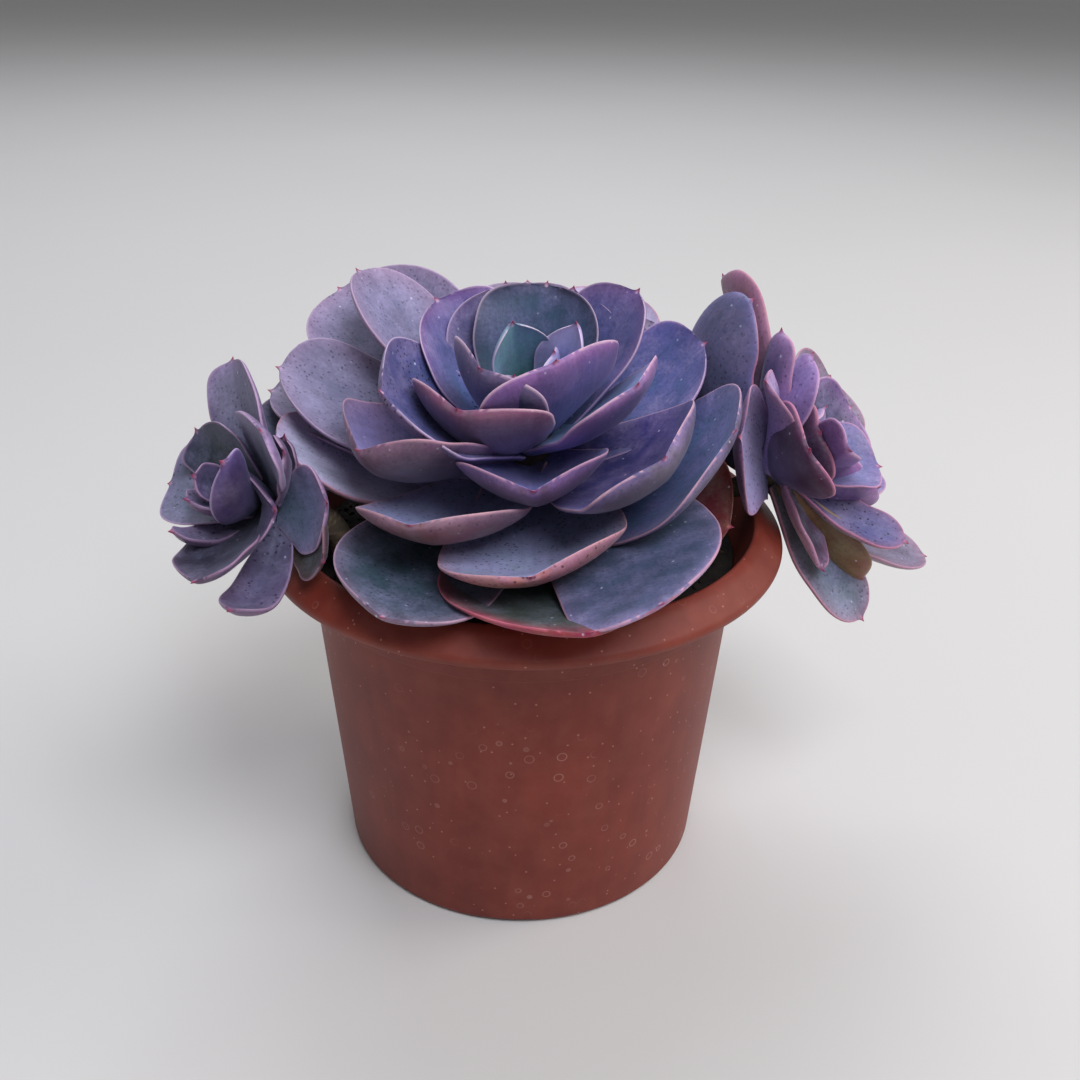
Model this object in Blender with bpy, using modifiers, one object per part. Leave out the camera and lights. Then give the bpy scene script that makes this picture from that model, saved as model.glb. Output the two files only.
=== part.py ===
"""Potted echeveria: a large purple rosette and two side rosettes in a round flanged pot.

The pot stands on the surface at z = 0 with its axis on Z, and the front of the plant faces -Y.
Sizes below are in millimetres and degrees. They become metres when a mesh is made.
"""
import math
from collections import namedtuple

import bmesh
import bpy
import numpy as np
from mathutils import Matrix, Vector

MM = 0.001
GAP = 0.3                      # clearance between pieces that touch

# Pot, moulded with a thin wall and a flange that slopes down and out
POT_HEIGHT = 139.0
POT_RIM_RADIUS = 95.0          # widest circle of the flange
POT_RIM_Z = 130.7              # height of that circle
POT_MOUTH_RADIUS = 83.4
POT_BASE_RADIUS = 69.8
POT_BODY_TOP_RADIUS = 78.2
POT_COLLAR_Z = 114.0           # the step where the body meets the collar
POT_COLLAR_RADIUS = 80.0
POT_WALL = 2.2
POT_FLOOR_Z = 3.0              # underside of the floor, between the foot and the middle pad
POT_FLOOR_THICKNESS = 2.5
POT_PAD_RADIUS = 20.0
POT_FOOT_WIDTH = 8.0
POT_SIDES = 40
DRAIN_HOLES = 6
DRAIN_CIRCLE = 42.0
DRAIN_RADIUS = 5.0
FOOT_NOTCHES = 4
FOOT_NOTCH_WIDTH = 21.0
FOOT_NOTCH_HEIGHT = 1.6
FOOT_NOTCH_TURN = -94.6        # direction of the first notch

# Potting soil
SOIL_TOP = 125.0

# Leaves
LEAF_SIDES = 8
LEAF_STATIONS = (0.0, 0.24, 0.48, 0.7, 0.87, 0.965)
SMALL_LEAF_STATIONS = (0.0, 0.34, 0.68, 0.93)
SMALL_LEAF = 34.0              # leaves shorter than this are made with fewer stations
LEAF_THICKNESS = 6.2
LEAF_POINT = 2.5               # length of the little spine at the tip
LEAF_NECK = 0.5                # width of the base as a share of the leaf's width
LEAF_BELLY = 0.62              # where along its length a leaf is widest

# turn: direction around the rosette's axis. rise and tip: slope of the midrib at its base and at
# its end, above the plane across the axis. lift and root: where it grows from, along the axis and
# out from it. roll: turn about the midrib. sweep: how far the tip bends sideways. cup: how far the
# margins rise, as a share of half the width. fold: how sharply the two halves meet at the midrib.
# curl: how far the tip bends up (or down, if below zero) out of the arc.
Leaf = namedtuple("Leaf", "turn length width rise tip lift roll sweep cup fold root curl",
                  defaults=(0.0, 0.0, 0.28, 0.0, None, 0.0))

# centre: where the lowest leaves grow from. compass and lean: which way the axis leans, and how
# far from upright. root: how far out from the axis a leaf starts. core: the short stem between
# the leaves, as (radius at the foot, radius at the top, foot below centre, top above centre).
Rosette = namedtuple("Rosette", "name centre compass lean root core leaves")

MAIN = Rosette("main_rosette", (0.6, 9.5, 148.0), -90.0, 20.0, 7.0, (12.0, 8.4, 9.0, 33.0), (
    # lowest leaves, spread over the soil and the rim
    Leaf(274, 113, 71, -4, 62, -1, roll=6, sweep=10, cup=0.16, fold=0.05, curl=-13),
    Leaf(176, 98, 50, -4, 24, -3),
    Leaf(236, 104, 60, -6, 42, 3, roll=6, sweep=19, cup=0.2, curl=-1),
    Leaf(314, 107, 68, 6, 49, 2, roll=-5, sweep=-44, cup=0.02, curl=-2),
    Leaf(193, 90, 50, 3, 43, -3, roll=9, cup=0.16, curl=2),
    Leaf(331, 74, 60, -3, 22, -4, roll=13, sweep=3, curl=1),
    Leaf(329, 91, 69, 6, 60, 3, roll=9, sweep=4, cup=0.16, curl=6),
    Leaf(277, 92, 62, -6, 51, 8, roll=8, sweep=-9, curl=1),
    Leaf(244, 85, 54, -2, 53, 8, roll=17, fold=0.05, curl=3),
    Leaf(8, 58, 46, -4, 18, -3),
    Leaf(148, 92, 50, -2, 14, -3),
    # leaves of the outer ring at the back
    Leaf(168, 92, 49, 3, 21, 0, roll=10, sweep=-1),
    Leaf(175, 89, 57, 14, 30, 2, roll=7, sweep=-6, cup=0.22, curl=1),
    Leaf(135, 99, 62, 16, 17, 1, roll=-9, sweep=2),
    Leaf(139, 89, 51, 23, 36, 4, roll=27, cup=0.22, curl=1),
    Leaf(52, 77, 53, 16, 14, 0, roll=-10, sweep=-5, cup=0.3, fold=0.05),
    Leaf(90, 90, 54, 0, 20, 0),
    Leaf(66, 87, 52, 2, 23, 1),
    Leaf(116, 66, 54, 10, 32, 3),
    Leaf(112, 74, 48, -22, 2, -5),
    Leaf(52, 70, 48, -24, 4, -5),
    Leaf(56, 66, 52, 10, 38, 3),
    # middle ring
    Leaf(211, 76, 56, 8, 43, 13, roll=21, sweep=15, cup=0.44, fold=0.2, curl=10),
    Leaf(196, 64, 62, 29, 56, 18, roll=2, sweep=15, curl=2),
    Leaf(14, 71, 50, 18, 40, 5, roll=-2, sweep=8, cup=0.24, curl=2),
    Leaf(327, 90, 68, 8, 76, 9, roll=-4, sweep=-30, curl=2),
    Leaf(277, 67, 50, 22, 47, 10, roll=0, sweep=-5, cup=0.4, fold=0.15, curl=3),
    Leaf(69, 58, 50, 34, 60, 8),
    Leaf(100, 58, 48, 34, 60, 8),
    # inner ring, standing up around the heart
    Leaf(137, 57, 44, 38, 40, 11, roll=1, sweep=-6, fold=0.3, curl=1),
    Leaf(41, 63, 40, 40, 52, 12, roll=-8, sweep=-1, cup=0.26, fold=0.15),
    Leaf(76, 51, 47, 57, 41, 16, roll=-10, sweep=3, cup=0.34, fold=0.05),
    Leaf(233, 55, 53, 29, 72, 19, roll=12, sweep=4, cup=0.34, fold=0.15),
    Leaf(336, 62, 52, 35, 66, 18, roll=-12, sweep=-13, cup=0.2, curl=3),
    Leaf(307, 49, 58, 62, 75, 25, roll=-1, sweep=-7, cup=0.12, curl=1),
    Leaf(227, 47, 44, 59, 56, 25, roll=-3, sweep=5, cup=0.36, fold=0.05, curl=6),
    Leaf(117, 39, 24, 85, 103, 26, roll=4, sweep=3, fold=0.3, curl=-1),
    Leaf(21, 37, 19, 61, 102, 28, roll=28, sweep=-5, fold=0.4, curl=-5),
    Leaf(340, 28, 18, 80, 90, 30),
    Leaf(240, 20, 12, 80, 90, 31),
))

RIGHT = Rosette("right_rosette", (89.6, 5.5, 149.0), 2.0, 48.0, 5.0, (5.4, 3.5, 4.5, 18.0), (
    # lowest leaves, hanging over the pot's edge
    Leaf(340, 59, 26, -16, 0, 2, roll=42, sweep=2, cup=0.2, curl=1),
    Leaf(308, 34, 20, -27, 10, 6, roll=4, sweep=8, curl=-5),
    Leaf(343, 47, 21, 8, 27, 7, roll=28, sweep=-6, cup=0.24, curl=4),
    Leaf(12, 76, 28, 0, 35, 1, roll=8, sweep=-2, cup=0.24, curl=1),
    Leaf(342, 48, 25, 3, 2, 0, roll=-40, sweep=5, curl=1),
    # leaves turned to the large rosette
    Leaf(160, 66, 38, -22, 98, 0, roll=48, sweep=-1, cup=0.12, root=6, curl=-7),
    Leaf(142, 72, 41, 33, 17, 2, roll=17, cup=0.32, fold=0.05, root=6, curl=-1),
    Leaf(220, 34, 44, 1, -15, 1, roll=-40, sweep=-5, cup=0.08, fold=0.15, root=4, curl=11),
    Leaf(211, 45, 20, 53, 4, 2, roll=-11, cup=0.3),
    Leaf(171, 46, 23, 35, 43, 5, roll=17, sweep=3, curl=3),
    Leaf(185, 41, 31, 35, 77, 6, cup=0.24, root=4, curl=-1),
    # back
    Leaf(120, 40, 32, 16, 34, 2),
    Leaf(60, 44, 32, 10, 30, 1),
    Leaf(36, 50, 32, 24, 40, 4),
    Leaf(90, 46, 32, 4, 14, -1),
    # inner ring and heart
    Leaf(313, 27, 36, 29, 68, 7, roll=-21, sweep=23, curl=2),
    Leaf(3, 32, 37, 60, 46, 8, roll=17, sweep=-2, root=4, curl=-1),
    Leaf(71, 35, 36, 61, 44, 10, roll=11, sweep=-1, root=4),
    Leaf(93, 44, 44, 53, 36, 8, sweep=-1, root=4),
    Leaf(240, 35, 38, 24, 36, 4, roll=-12, sweep=6, curl=-2),
    Leaf(239, 25, 30, 48, 46, 7, roll=-23, sweep=2, cup=0.32, fold=0.05, root=4),
    Leaf(301, 28, 29, 58, 23, 11, roll=-8, sweep=-17, cup=0.34, fold=0.05, root=3, curl=1),
    Leaf(20, 14, 14, 80, 86, 15, root=2),
    Leaf(150, 17, 16, 76, 80, 14, root=3),
))

LEFT = Rosette("left_rosette", (-83.2, -36.3, 156.0), 225.0, 51.0, 4.0, (5.5, 3.2, 6.0, 15.0), (
    # lowest leaves
    Leaf(271, 51, 18, -3, 48, -2, roll=-28, sweep=3, cup=0.24, curl=8),
    Leaf(319, 30, 23, -9, 12, -3, roll=18, sweep=-3, cup=0.24, curl=2),
    Leaf(334, 26, 29, -5, 27, 1, roll=31, sweep=5, cup=0.2),
    Leaf(85, 46, 27, 43, 6, 2, roll=-10, sweep=10, cup=0.32, curl=-1),
    Leaf(60, 18, 20, 14, 34, 1),
    Leaf(146, 24, 24, 24, 40, 2),
    # outer ring
    Leaf(254, 40, 33, 25, 53, 4, roll=4, sweep=9, cup=0.26),
    Leaf(115, 26, 26, 44, 27, 8, roll=-19, sweep=5),
    Leaf(171, 34, 31, 42, 7, 4, roll=8, sweep=-4, curl=-2),
    Leaf(39, 38, 36, 46, 70, 5, roll=-1, sweep=-16, cup=0.12, curl=-1),
    Leaf(14, 24, 22, 30, 50, 4),
    Leaf(226, 34, 12, 27, 65, 2, roll=6, sweep=2, cup=0.24, curl=6),
    # inner ring and heart
    Leaf(329, 25, 24, 52, 38, 5, roll=36, sweep=-5, cup=0.36, fold=0.1, root=3, curl=-6),
    Leaf(300, 34, 20, 38, 97, 11, roll=22, sweep=14, root=3),
    Leaf(223, 24, 16, 50, 81, 8, roll=5, sweep=1, root=3, curl=2),
    Leaf(181, 20, 13, 60, 95, 12, roll=-4, sweep=1, cup=0.26, root=2, curl=2),
    Leaf(260, 13, 12, 76, 88, 12, root=2),
))

# Bare stems, from below the soil up to the foot of each rosette's core:
# (node, rosette, where it stands in the soil, radius, depth below the soil's top, and how far it
# is drawn upright from the soil and along the rosette's axis at its top, as shares of its reach)
Stem = namedtuple("Stem", "name rosette foot radius depth pull", defaults=((0.8, 0.22),))
STEMS = (
    Stem("main_stem", MAIN, (0.6, 15.0), 8.5, 30.0, (0.35, 0.35)),
    Stem("right_stem", RIGHT, (67.0, 4.5), 3.8, 22.0),
    Stem("left_stem", LEFT, (-62.0, -28.0), 4.4, 22.0),
)
STEM_SIDES = 12


def clear_scene():
    for old in list(bpy.data.objects):
        bpy.data.objects.remove(old, do_unlink=True)


def new_collection(name):
    collection = bpy.data.collections.new(name)
    bpy.context.scene.collection.children.link(collection)
    return collection


def new_material(name, colour, roughness):
    material = bpy.data.materials.new(name)
    material.use_nodes = True
    shader = material.node_tree.nodes["Principled BSDF"]
    shader.inputs["Base Color"].default_value = (*colour, 1.0)
    shader.inputs["Roughness"].default_value = roughness
    shader.inputs["Metallic"].default_value = 0.0
    material.diffuse_color = (*colour, 1.0)
    return material


def link_mesh(name, mesh, collection, material=None):
    obj = bpy.data.objects.new(name, mesh)
    collection.objects.link(obj)
    if material:
        mesh.materials.append(material)
    return obj


def add_modifier(obj, kind, **settings):
    modifier = obj.modifiers.new(kind.title(), kind)
    for key, value in settings.items():
        setattr(modifier, key, value)
    return modifier


def apply_modifiers(obj):
    """Replaces the object's mesh by its evaluated one."""
    graph = bpy.context.evaluated_depsgraph_get()
    mesh = bpy.data.meshes.new_from_object(obj.evaluated_get(graph))
    obj.modifiers.clear()
    obj.data = mesh


def smooth(obj, degrees=32.0):
    obj.data.shade_smooth()
    obj.data.set_sharp_from_angle(angle=math.radians(degrees))


def turned(name, profile, sides, collection, material):
    """A profile of (radius, height) points, turned about Z. It starts and ends on the axis."""
    mesh = bpy.data.meshes.new(name)
    points = [(r * MM, 0.0, z * MM) for r, z in profile]
    mesh.from_pydata(points, [(i, i + 1) for i in range(len(points) - 1)], [])
    obj = link_mesh(name, mesh, collection, material)
    add_modifier(obj, "SCREW", steps=sides, render_steps=sides, use_merge_vertices=True,
                 merge_threshold=0.00001, use_normal_calculate=False)
    return obj


def cutting_cylinder(name, radius, low, high, sides, place, collection):
    mesh = bpy.data.meshes.new(name)
    shape = bmesh.new()
    bmesh.ops.create_cone(shape, cap_ends=True, segments=sides, radius1=radius * MM,
                          radius2=radius * MM, depth=(high - low) * MM)
    shape.to_mesh(mesh)
    shape.free()
    obj = link_mesh(name, mesh, collection)
    obj.location = Vector((place[0], place[1], (low + high) / 2)) * MM
    obj.hide_render = True
    obj.display_type = "WIRE"
    return obj


def make_pot(parts, cutters, material):
    """The inside runs up from the floor, over the rim, and down the outside to the foot."""
    floor_top = POT_FLOOR_Z + POT_FLOOR_THICKNESS
    inner_foot = POT_BASE_RADIUS - POT_WALL - 1.0
    profile = [
        (0.0, floor_top), (inner_foot - 3.0, floor_top), (inner_foot, floor_top + 3.0),
        (POT_BODY_TOP_RADIUS - POT_WALL, POT_COLLAR_Z),
        (POT_COLLAR_RADIUS - POT_WALL, POT_COLLAR_Z + 9.0),
        (POT_MOUTH_RADIUS - 1.8, POT_RIM_Z + 1.5), (POT_MOUTH_RADIUS, POT_HEIGHT - 2.5),
        (POT_MOUTH_RADIUS + 0.7, POT_HEIGHT - 0.4), (POT_MOUTH_RADIUS + 1.8, POT_HEIGHT),
        (POT_MOUTH_RADIUS + 4.6, POT_HEIGHT - 1.2), (POT_RIM_RADIUS - 0.6, POT_RIM_Z + 1.6),
        (POT_RIM_RADIUS, POT_RIM_Z), (POT_RIM_RADIUS - 0.6, POT_RIM_Z - 2.0),
        (POT_COLLAR_RADIUS + 4.0, POT_RIM_Z - 4.4), (POT_COLLAR_RADIUS + 0.5, POT_RIM_Z - 6.5),
        (POT_COLLAR_RADIUS - 0.8, POT_COLLAR_Z),
        (POT_BODY_TOP_RADIUS, POT_COLLAR_Z - 0.6),
        (POT_BASE_RADIUS, 1.6), (POT_BASE_RADIUS - 1.4, 0.0),
        (POT_BASE_RADIUS - POT_FOOT_WIDTH, 0.0), (POT_BASE_RADIUS - POT_FOOT_WIDTH - 0.6, POT_FLOOR_Z),
        (POT_PAD_RADIUS + 1.0, POT_FLOOR_Z), (POT_PAD_RADIUS, 0.0), (0.0, 0.0),
    ]
    pot = turned("pot", profile, POT_SIDES, parts, material)
    holes = []
    for i in range(DRAIN_HOLES):
        a = 2 * math.pi * i / DRAIN_HOLES
        place = (DRAIN_CIRCLE * math.cos(a), DRAIN_CIRCLE * math.sin(a))
        holes.append(cutting_cylinder("drain_cutter_%d" % i, DRAIN_RADIUS, -2.0, floor_top + 2.0,
                                      12, place, cutters))
    for i in range(FOOT_NOTCHES):
        turn = math.radians(FOOT_NOTCH_TURN) + 2 * math.pi * i / FOOT_NOTCHES
        mesh = bpy.data.meshes.new("foot_notch_cutter_%d" % i)
        shape = bmesh.new()
        bmesh.ops.create_cube(shape, size=1.0)
        size = (POT_FOOT_WIDTH * 3, FOOT_NOTCH_WIDTH, FOOT_NOTCH_HEIGHT * 2)
        bmesh.ops.scale(shape, vec=Vector(size) * MM, verts=shape.verts)
        shape.to_mesh(mesh)
        shape.free()
        box = link_mesh(mesh.name, mesh, cutters)
        reach = POT_BASE_RADIUS - POT_FOOT_WIDTH / 2
        box.location = Vector((reach * math.cos(turn), reach * math.sin(turn), 0.0)) * MM
        box.rotation_euler = (0.0, 0.0, turn)
        box.hide_render = True
        box.display_type = "WIRE"
        holes.append(box)
    for cutter in holes:
        add_modifier(pot, "BOOLEAN", operation="DIFFERENCE", object=cutter)
    return pot


def pot_inner_radius(z):
    """Radius of the pot's inside at a height, for the soil to follow."""
    foot = POT_BASE_RADIUS - POT_WALL - 1.0
    levels = (POT_FLOOR_Z + POT_FLOOR_THICKNESS + 3.0, POT_COLLAR_Z, POT_COLLAR_Z + 9.0,
              POT_RIM_Z + 1.5)
    radii = (foot, POT_BODY_TOP_RADIUS - POT_WALL, POT_COLLAR_RADIUS - POT_WALL,
             POT_MOUTH_RADIUS - 1.8)
    return float(np.interp(z, levels, radii))


def make_soil(parts, cutters, material):
    """Fills the pot, with plain holes that the stems stand in."""
    floor = POT_FLOOR_Z + POT_FLOOR_THICKNESS + GAP
    foot = pot_inner_radius(0.0) - GAP
    profile = [
        (0.0, SOIL_TOP + 1.0), (34.0, SOIL_TOP + 0.6), (60.0, SOIL_TOP - 0.4),
        (pot_inner_radius(SOIL_TOP) - 5.0, SOIL_TOP), (pot_inner_radius(SOIL_TOP) - 0.5, SOIL_TOP - 0.6),
        (pot_inner_radius(POT_COLLAR_Z + 8.6) - 0.4, POT_COLLAR_Z + 8.6),
        (pot_inner_radius(POT_COLLAR_Z) - 0.4, POT_COLLAR_Z - 0.4),
        (foot - 0.2, floor + 3.2), (foot - 3.4, floor), (0.0, floor),
    ]
    soil = turned("soil", profile, POT_SIDES, parts, material)
    for stem in STEMS:
        radius = (stem.radius + GAP) / math.cos(math.pi / 16) + 0.05
        cutter = cutting_cylinder(stem.name + "_hole", radius, SOIL_TOP - stem.depth - GAP,
                                  SOIL_TOP + 5.0, 16, stem.foot, cutters)
        add_modifier(soil, "BOOLEAN", operation="DIFFERENCE", object=cutter)
    return soil


def rosette_axes(rosette):
    """Three unit vectors: two across the rosette and its axis, which leans toward the compass."""
    a, lean = math.radians(rosette.compass), math.radians(rosette.lean)
    axis = np.array([math.sin(lean) * math.cos(a), math.sin(lean) * math.sin(a), math.cos(lean)])
    across = np.array([1.0, 0.0, 0.0]) - axis * axis[0]
    across /= np.linalg.norm(across)
    return across, np.cross(axis, across), axis


def leaf_points(leaf, root, s, phi, point=LEAF_POINT):
    """Points of a leaf's surface, s from base to tip and phi around it (0 to pi on top).

    The midrib is an arc of a circle from the slope rise to the slope tip. The outline widens as a
    sine from the neck to the belly and closes at the tip as 1 - y ** 3, raised to 0.46. Across
    it, the margins rise as cup * v * v, and the underside bulges three times as far as the top.
    """
    v = np.cos(phi)
    rise = math.radians(leaf.rise)
    bend = math.radians(leaf.tip - leaf.rise) or 1e-4
    slope = rise + bend * s
    out = leaf.length * (np.sin(slope) - math.sin(rise)) / bend
    up = -leaf.length * (np.cos(slope) - math.cos(rise)) / bend
    x = np.clip(s / LEAF_BELLY, 0, 1)
    y = np.clip((s - LEAF_BELLY) / (1 - LEAF_BELLY), 0, 1)
    wide = np.where(s < LEAF_BELLY, LEAF_NECK + (1 - LEAF_NECK) * np.sin(x * math.pi / 2) ** 1.5,
                    np.clip(1 - y ** 3, 0, 1) ** 0.46)
    half = leaf.width / 2 * wide
    roll = math.radians(leaf.roll)
    side = np.stack([-np.sin(slope) * math.sin(roll), np.full_like(s, math.cos(roll)),
                     np.cos(slope) * math.sin(roll)], -1)
    normal = np.stack([-np.sin(slope) * math.cos(roll), np.full_like(s, -math.sin(roll)),
                       np.cos(slope) * math.cos(roll)], -1)
    raised = half * (leaf.cup * v * v + leaf.fold * (np.sqrt(v * v + 0.02) - 0.14))
    raised = raised + leaf.curl * s ** 4
    thick = LEAF_THICKNESS * min(1.0, 0.45 + leaf.length / 110.0)
    body = thick / 2 * (1 - 0.45 * s) * np.sqrt(wide) * np.where(np.sin(phi) > 0, 0.5, 1.5)
    skin = body * np.sign(np.sin(phi)) * np.abs(np.sin(phi)) ** 0.7
    spine = point * np.clip((s - 0.985) / 0.015, 0, 1)
    points = np.stack([root + out + spine * np.cos(slope), leaf.sweep * s * s,
                       leaf.lift + up + spine * np.sin(slope)], -1)
    return points + side * (half * v)[..., None] + normal * (raised + skin)[..., None]


def leaf_object(name, leaf, rosette, collection):
    """One leaf: a sphere whose rings are moved to the leaf's stations."""
    stations = SMALL_LEAF_STATIONS if leaf.length < SMALL_LEAF else LEAF_STATIONS
    rings = len(stations) + 1
    shape = bmesh.new()
    bmesh.ops.create_uvsphere(shape, u_segments=LEAF_SIDES, v_segments=rings, radius=1.0)
    bmesh.ops.triangulate(shape, faces=shape.faces, quad_method="FIXED")
    at = np.array([vert.co for vert in shape.verts])
    ring = np.rint((math.pi - np.arccos(np.clip(at[:, 2], -1, 1))) / math.pi * rings).astype(int)
    s = np.array((-0.03,) + stations + (1.0,))[ring]
    pole = (ring == 0) | (ring == rings)
    phi = np.arctan2(at[:, 1], at[:, 0]) + math.pi / LEAF_SIDES
    phi = np.where(pole, math.pi / 2, phi)
    root = rosette.root if leaf.root is None else leaf.root
    local = leaf_points(leaf, root, s, phi)
    turn = math.radians(leaf.turn)
    across, along, axis = rosette_axes(rosette)
    outward = across * math.cos(turn) + along * math.sin(turn)
    sideways = np.cross(axis, outward)
    world = (np.array(rosette.centre) + local[:, :1] * outward + local[:, 1:2] * sideways
             + local[:, 2:] * axis) * MM
    for vert, place in zip(shape.verts, world):
        vert.co = place
    mesh = bpy.data.meshes.new(name)
    shape.to_mesh(mesh)
    shape.free()
    return link_mesh(name, mesh, collection)


def fill_pockets(obj):
    """Leaves can close round a pocket of air. Its shell, which faces inward, is taken out."""
    shape = bmesh.new()
    shape.from_mesh(obj.data)
    unseen = set(shape.faces)
    while unseen:
        island, edge_of_search = set(), [unseen.pop()]
        while edge_of_search:
            face = edge_of_search.pop()
            island.add(face)
            for edge in face.edges:
                for other in edge.link_faces:
                    if other in unseen:
                        unseen.discard(other)
                        edge_of_search.append(other)
        volume = 0.0
        for face in island:
            corners = [vert.co for vert in face.verts]
            for b, c in zip(corners[1:-1], corners[2:]):
                volume += corners[0].dot(b.cross(c)) / 6.0
        if volume < 0.0:
            bmesh.ops.delete(shape, geom=list(island), context="FACES")
    shape.to_mesh(obj.data)
    shape.free()


def make_rosette(rosette, parts, material):
    """A short tapered core with its leaves sunk into it, joined into one solid."""
    foot_radius, top_radius, foot, top = rosette.core
    mesh = bpy.data.meshes.new(rosette.name)
    shape = bmesh.new()
    bmesh.ops.create_cone(shape, cap_ends=True, segments=STEM_SIDES, radius1=foot_radius * MM,
                          radius2=top_radius * MM, depth=(foot + top) * MM)
    across, along, axis = rosette_axes(rosette)
    middle = np.array(rosette.centre) + axis * (top - foot) / 2
    place = Matrix((across, along, axis)).transposed().to_4x4()
    place.translation = Vector(middle) * MM
    bmesh.ops.transform(shape, matrix=place, verts=shape.verts)
    shape.to_mesh(mesh)
    shape.free()
    obj = link_mesh(rosette.name, mesh, parts, material)
    leaves = new_collection(rosette.name + "_leaves")
    for i, leaf in enumerate(rosette.leaves):
        leaf_object("%s_leaf_%d" % (rosette.name, i), leaf, rosette, leaves)
    add_modifier(obj, "BOOLEAN", operation="UNION", operand_type="COLLECTION",
                 collection=leaves, solver="EXACT")
    apply_modifiers(obj)
    for leaf in list(leaves.objects):
        bpy.data.objects.remove(leaf, do_unlink=True)
    bpy.data.collections.remove(leaves)
    fill_pockets(obj)
    return obj


def make_stem(stem, parts, material):
    """A curve that leaves the soil upright and meets the core of its rosette square on."""
    across, along, axis = rosette_axes(stem.rosette)
    foot = Vector((stem.foot[0], stem.foot[1], SOIL_TOP - stem.depth)) * MM
    sill = Vector((stem.foot[0], stem.foot[1], SOIL_TOP + 1.5)) * MM
    top = Vector(np.array(stem.rosette.centre) - axis * (stem.rosette.core[2] + GAP)) * MM
    neck = top - Vector(axis) * 1.5 * MM
    curve = bpy.data.curves.new(stem.name, "CURVE")
    curve.dimensions = "3D"
    spline = curve.splines.new("POLY")
    reach = (neck - sill).length
    pull_a = sill + Vector((0, 0, stem.pull[0] * reach))
    pull_b = neck - Vector(axis) * stem.pull[1] * reach
    points = [foot]
    steps = 5
    for i in range(steps + 1):
        t = i / steps
        points.append(sill * (1 - t) ** 3 + pull_a * (3 * t * (1 - t) ** 2)
                      + pull_b * (3 * t * t * (1 - t)) + neck * t ** 3)
    points.append(top)
    spline.points.add(len(points) - 1)
    for target, at in zip(spline.points, points):
        target.co = (*at, 1.0)
    curve.bevel_depth = stem.radius * MM
    curve.bevel_resolution = 4
    curve.use_fill_caps = True
    wire = bpy.data.objects.new(stem.name + "_curve", curve)
    parts.objects.link(wire)
    graph = bpy.context.evaluated_depsgraph_get()
    mesh = bpy.data.meshes.new_from_object(wire.evaluated_get(graph))
    bpy.data.objects.remove(wire, do_unlink=True)
    shape = bmesh.new()
    shape.from_mesh(mesh)
    bmesh.ops.remove_doubles(shape, verts=shape.verts, dist=0.00001)
    shape.to_mesh(mesh)
    shape.free()
    return link_mesh(stem.name, mesh, parts, material)


def build():
    clear_scene()
    parts = new_collection("potted_echeveria")
    cutters = new_collection("cutters")
    terracotta = new_material("pot_plastic", (0.235, 0.062, 0.035), 0.62)
    earth = new_material("soil", (0.018, 0.013, 0.010), 0.95)
    bark = new_material("stem", (0.105, 0.075, 0.052), 0.80)
    smooth(make_pot(parts, cutters, terracotta))
    make_soil(parts, cutters, earth)
    for stem in STEMS:
        smooth(make_stem(stem, parts, bark))
    leaf_colours = {"main_rosette": (0.165, 0.135, 0.240), "right_rosette": (0.150, 0.120, 0.225),
                    "left_rosette": (0.105, 0.110, 0.165)}
    for rosette in (MAIN, RIGHT, LEFT):
        skin = new_material(rosette.name + "_leaf", leaf_colours[rosette.name], 0.55)
        smooth(make_rosette(rosette, parts, skin))


build()
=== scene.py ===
import math
from collections import namedtuple

import bpy
import numpy as np
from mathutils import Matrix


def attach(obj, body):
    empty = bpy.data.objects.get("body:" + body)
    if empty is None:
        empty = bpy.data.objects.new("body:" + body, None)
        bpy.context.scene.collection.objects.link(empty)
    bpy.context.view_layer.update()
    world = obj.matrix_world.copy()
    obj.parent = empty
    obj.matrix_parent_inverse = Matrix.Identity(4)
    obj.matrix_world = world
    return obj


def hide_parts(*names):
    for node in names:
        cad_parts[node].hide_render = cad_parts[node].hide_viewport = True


# Looks of a potted echeveria: a large purple rosette and two side rosettes in a round plastic pot.
# Sizes below are in millimetres and degrees, and become metres when a mesh is made. The scales of
# patterns, the lights and the camera are in metres.
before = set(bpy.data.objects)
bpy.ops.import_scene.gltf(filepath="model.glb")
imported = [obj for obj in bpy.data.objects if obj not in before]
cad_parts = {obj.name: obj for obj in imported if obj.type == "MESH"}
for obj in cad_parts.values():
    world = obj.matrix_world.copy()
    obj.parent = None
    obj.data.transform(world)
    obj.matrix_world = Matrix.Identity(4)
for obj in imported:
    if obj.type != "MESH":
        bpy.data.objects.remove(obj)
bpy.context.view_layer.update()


# ---- Pot ---------------------------------------------------------------------------------
# A round flower pot, injection-moulded in terracotta-coloured polypropylene about 2 mm thick.
# A flange slopes down from its mouth over a shallow collar, the wall tapers to a foot ring with
# four drainage notches, and six holes go through the raised floor.
POT_SIDES = 192
POT_PROFILE = (                # radius, height, and how much of each corner is rounded off
    (0.0, 5.5, 0.0), (63.6, 5.5, 1.2), (66.6, 8.5, 1.2), (76.0, 114.0, 0.6), (77.8, 123.0, 1.2),
    (81.6, 132.2, 1.4), (83.4, 136.5, 0.8), (84.1, 138.6, 0.5), (85.2, 139.0, 0.5),
    (88.0, 137.8, 1.4), (94.4, 132.3, 0.8), (95.0, 130.7, 0.8), (94.4, 128.7, 0.8),
    (84.0, 126.3, 2.0), (80.5, 124.2, 1.8), (79.2, 114.0, 0.3), (78.2, 113.4, 0.3),
    (69.8, 1.6, 0.7), (68.4, 0.0, 0.7), (61.8, 0.0, 0.3), (61.2, 3.0, 0.3), (21.0, 3.0, 0.3),
    (20.0, 0.0, 0.3), (0.0, 0.0, 0.0),
)
FOOT_RING_INSIDE = 61.0
FOOT_NOTCH_TURN = -94.6        # direction of one of the four notches
FOOT_NOTCH_WIDTH = 21.0
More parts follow.
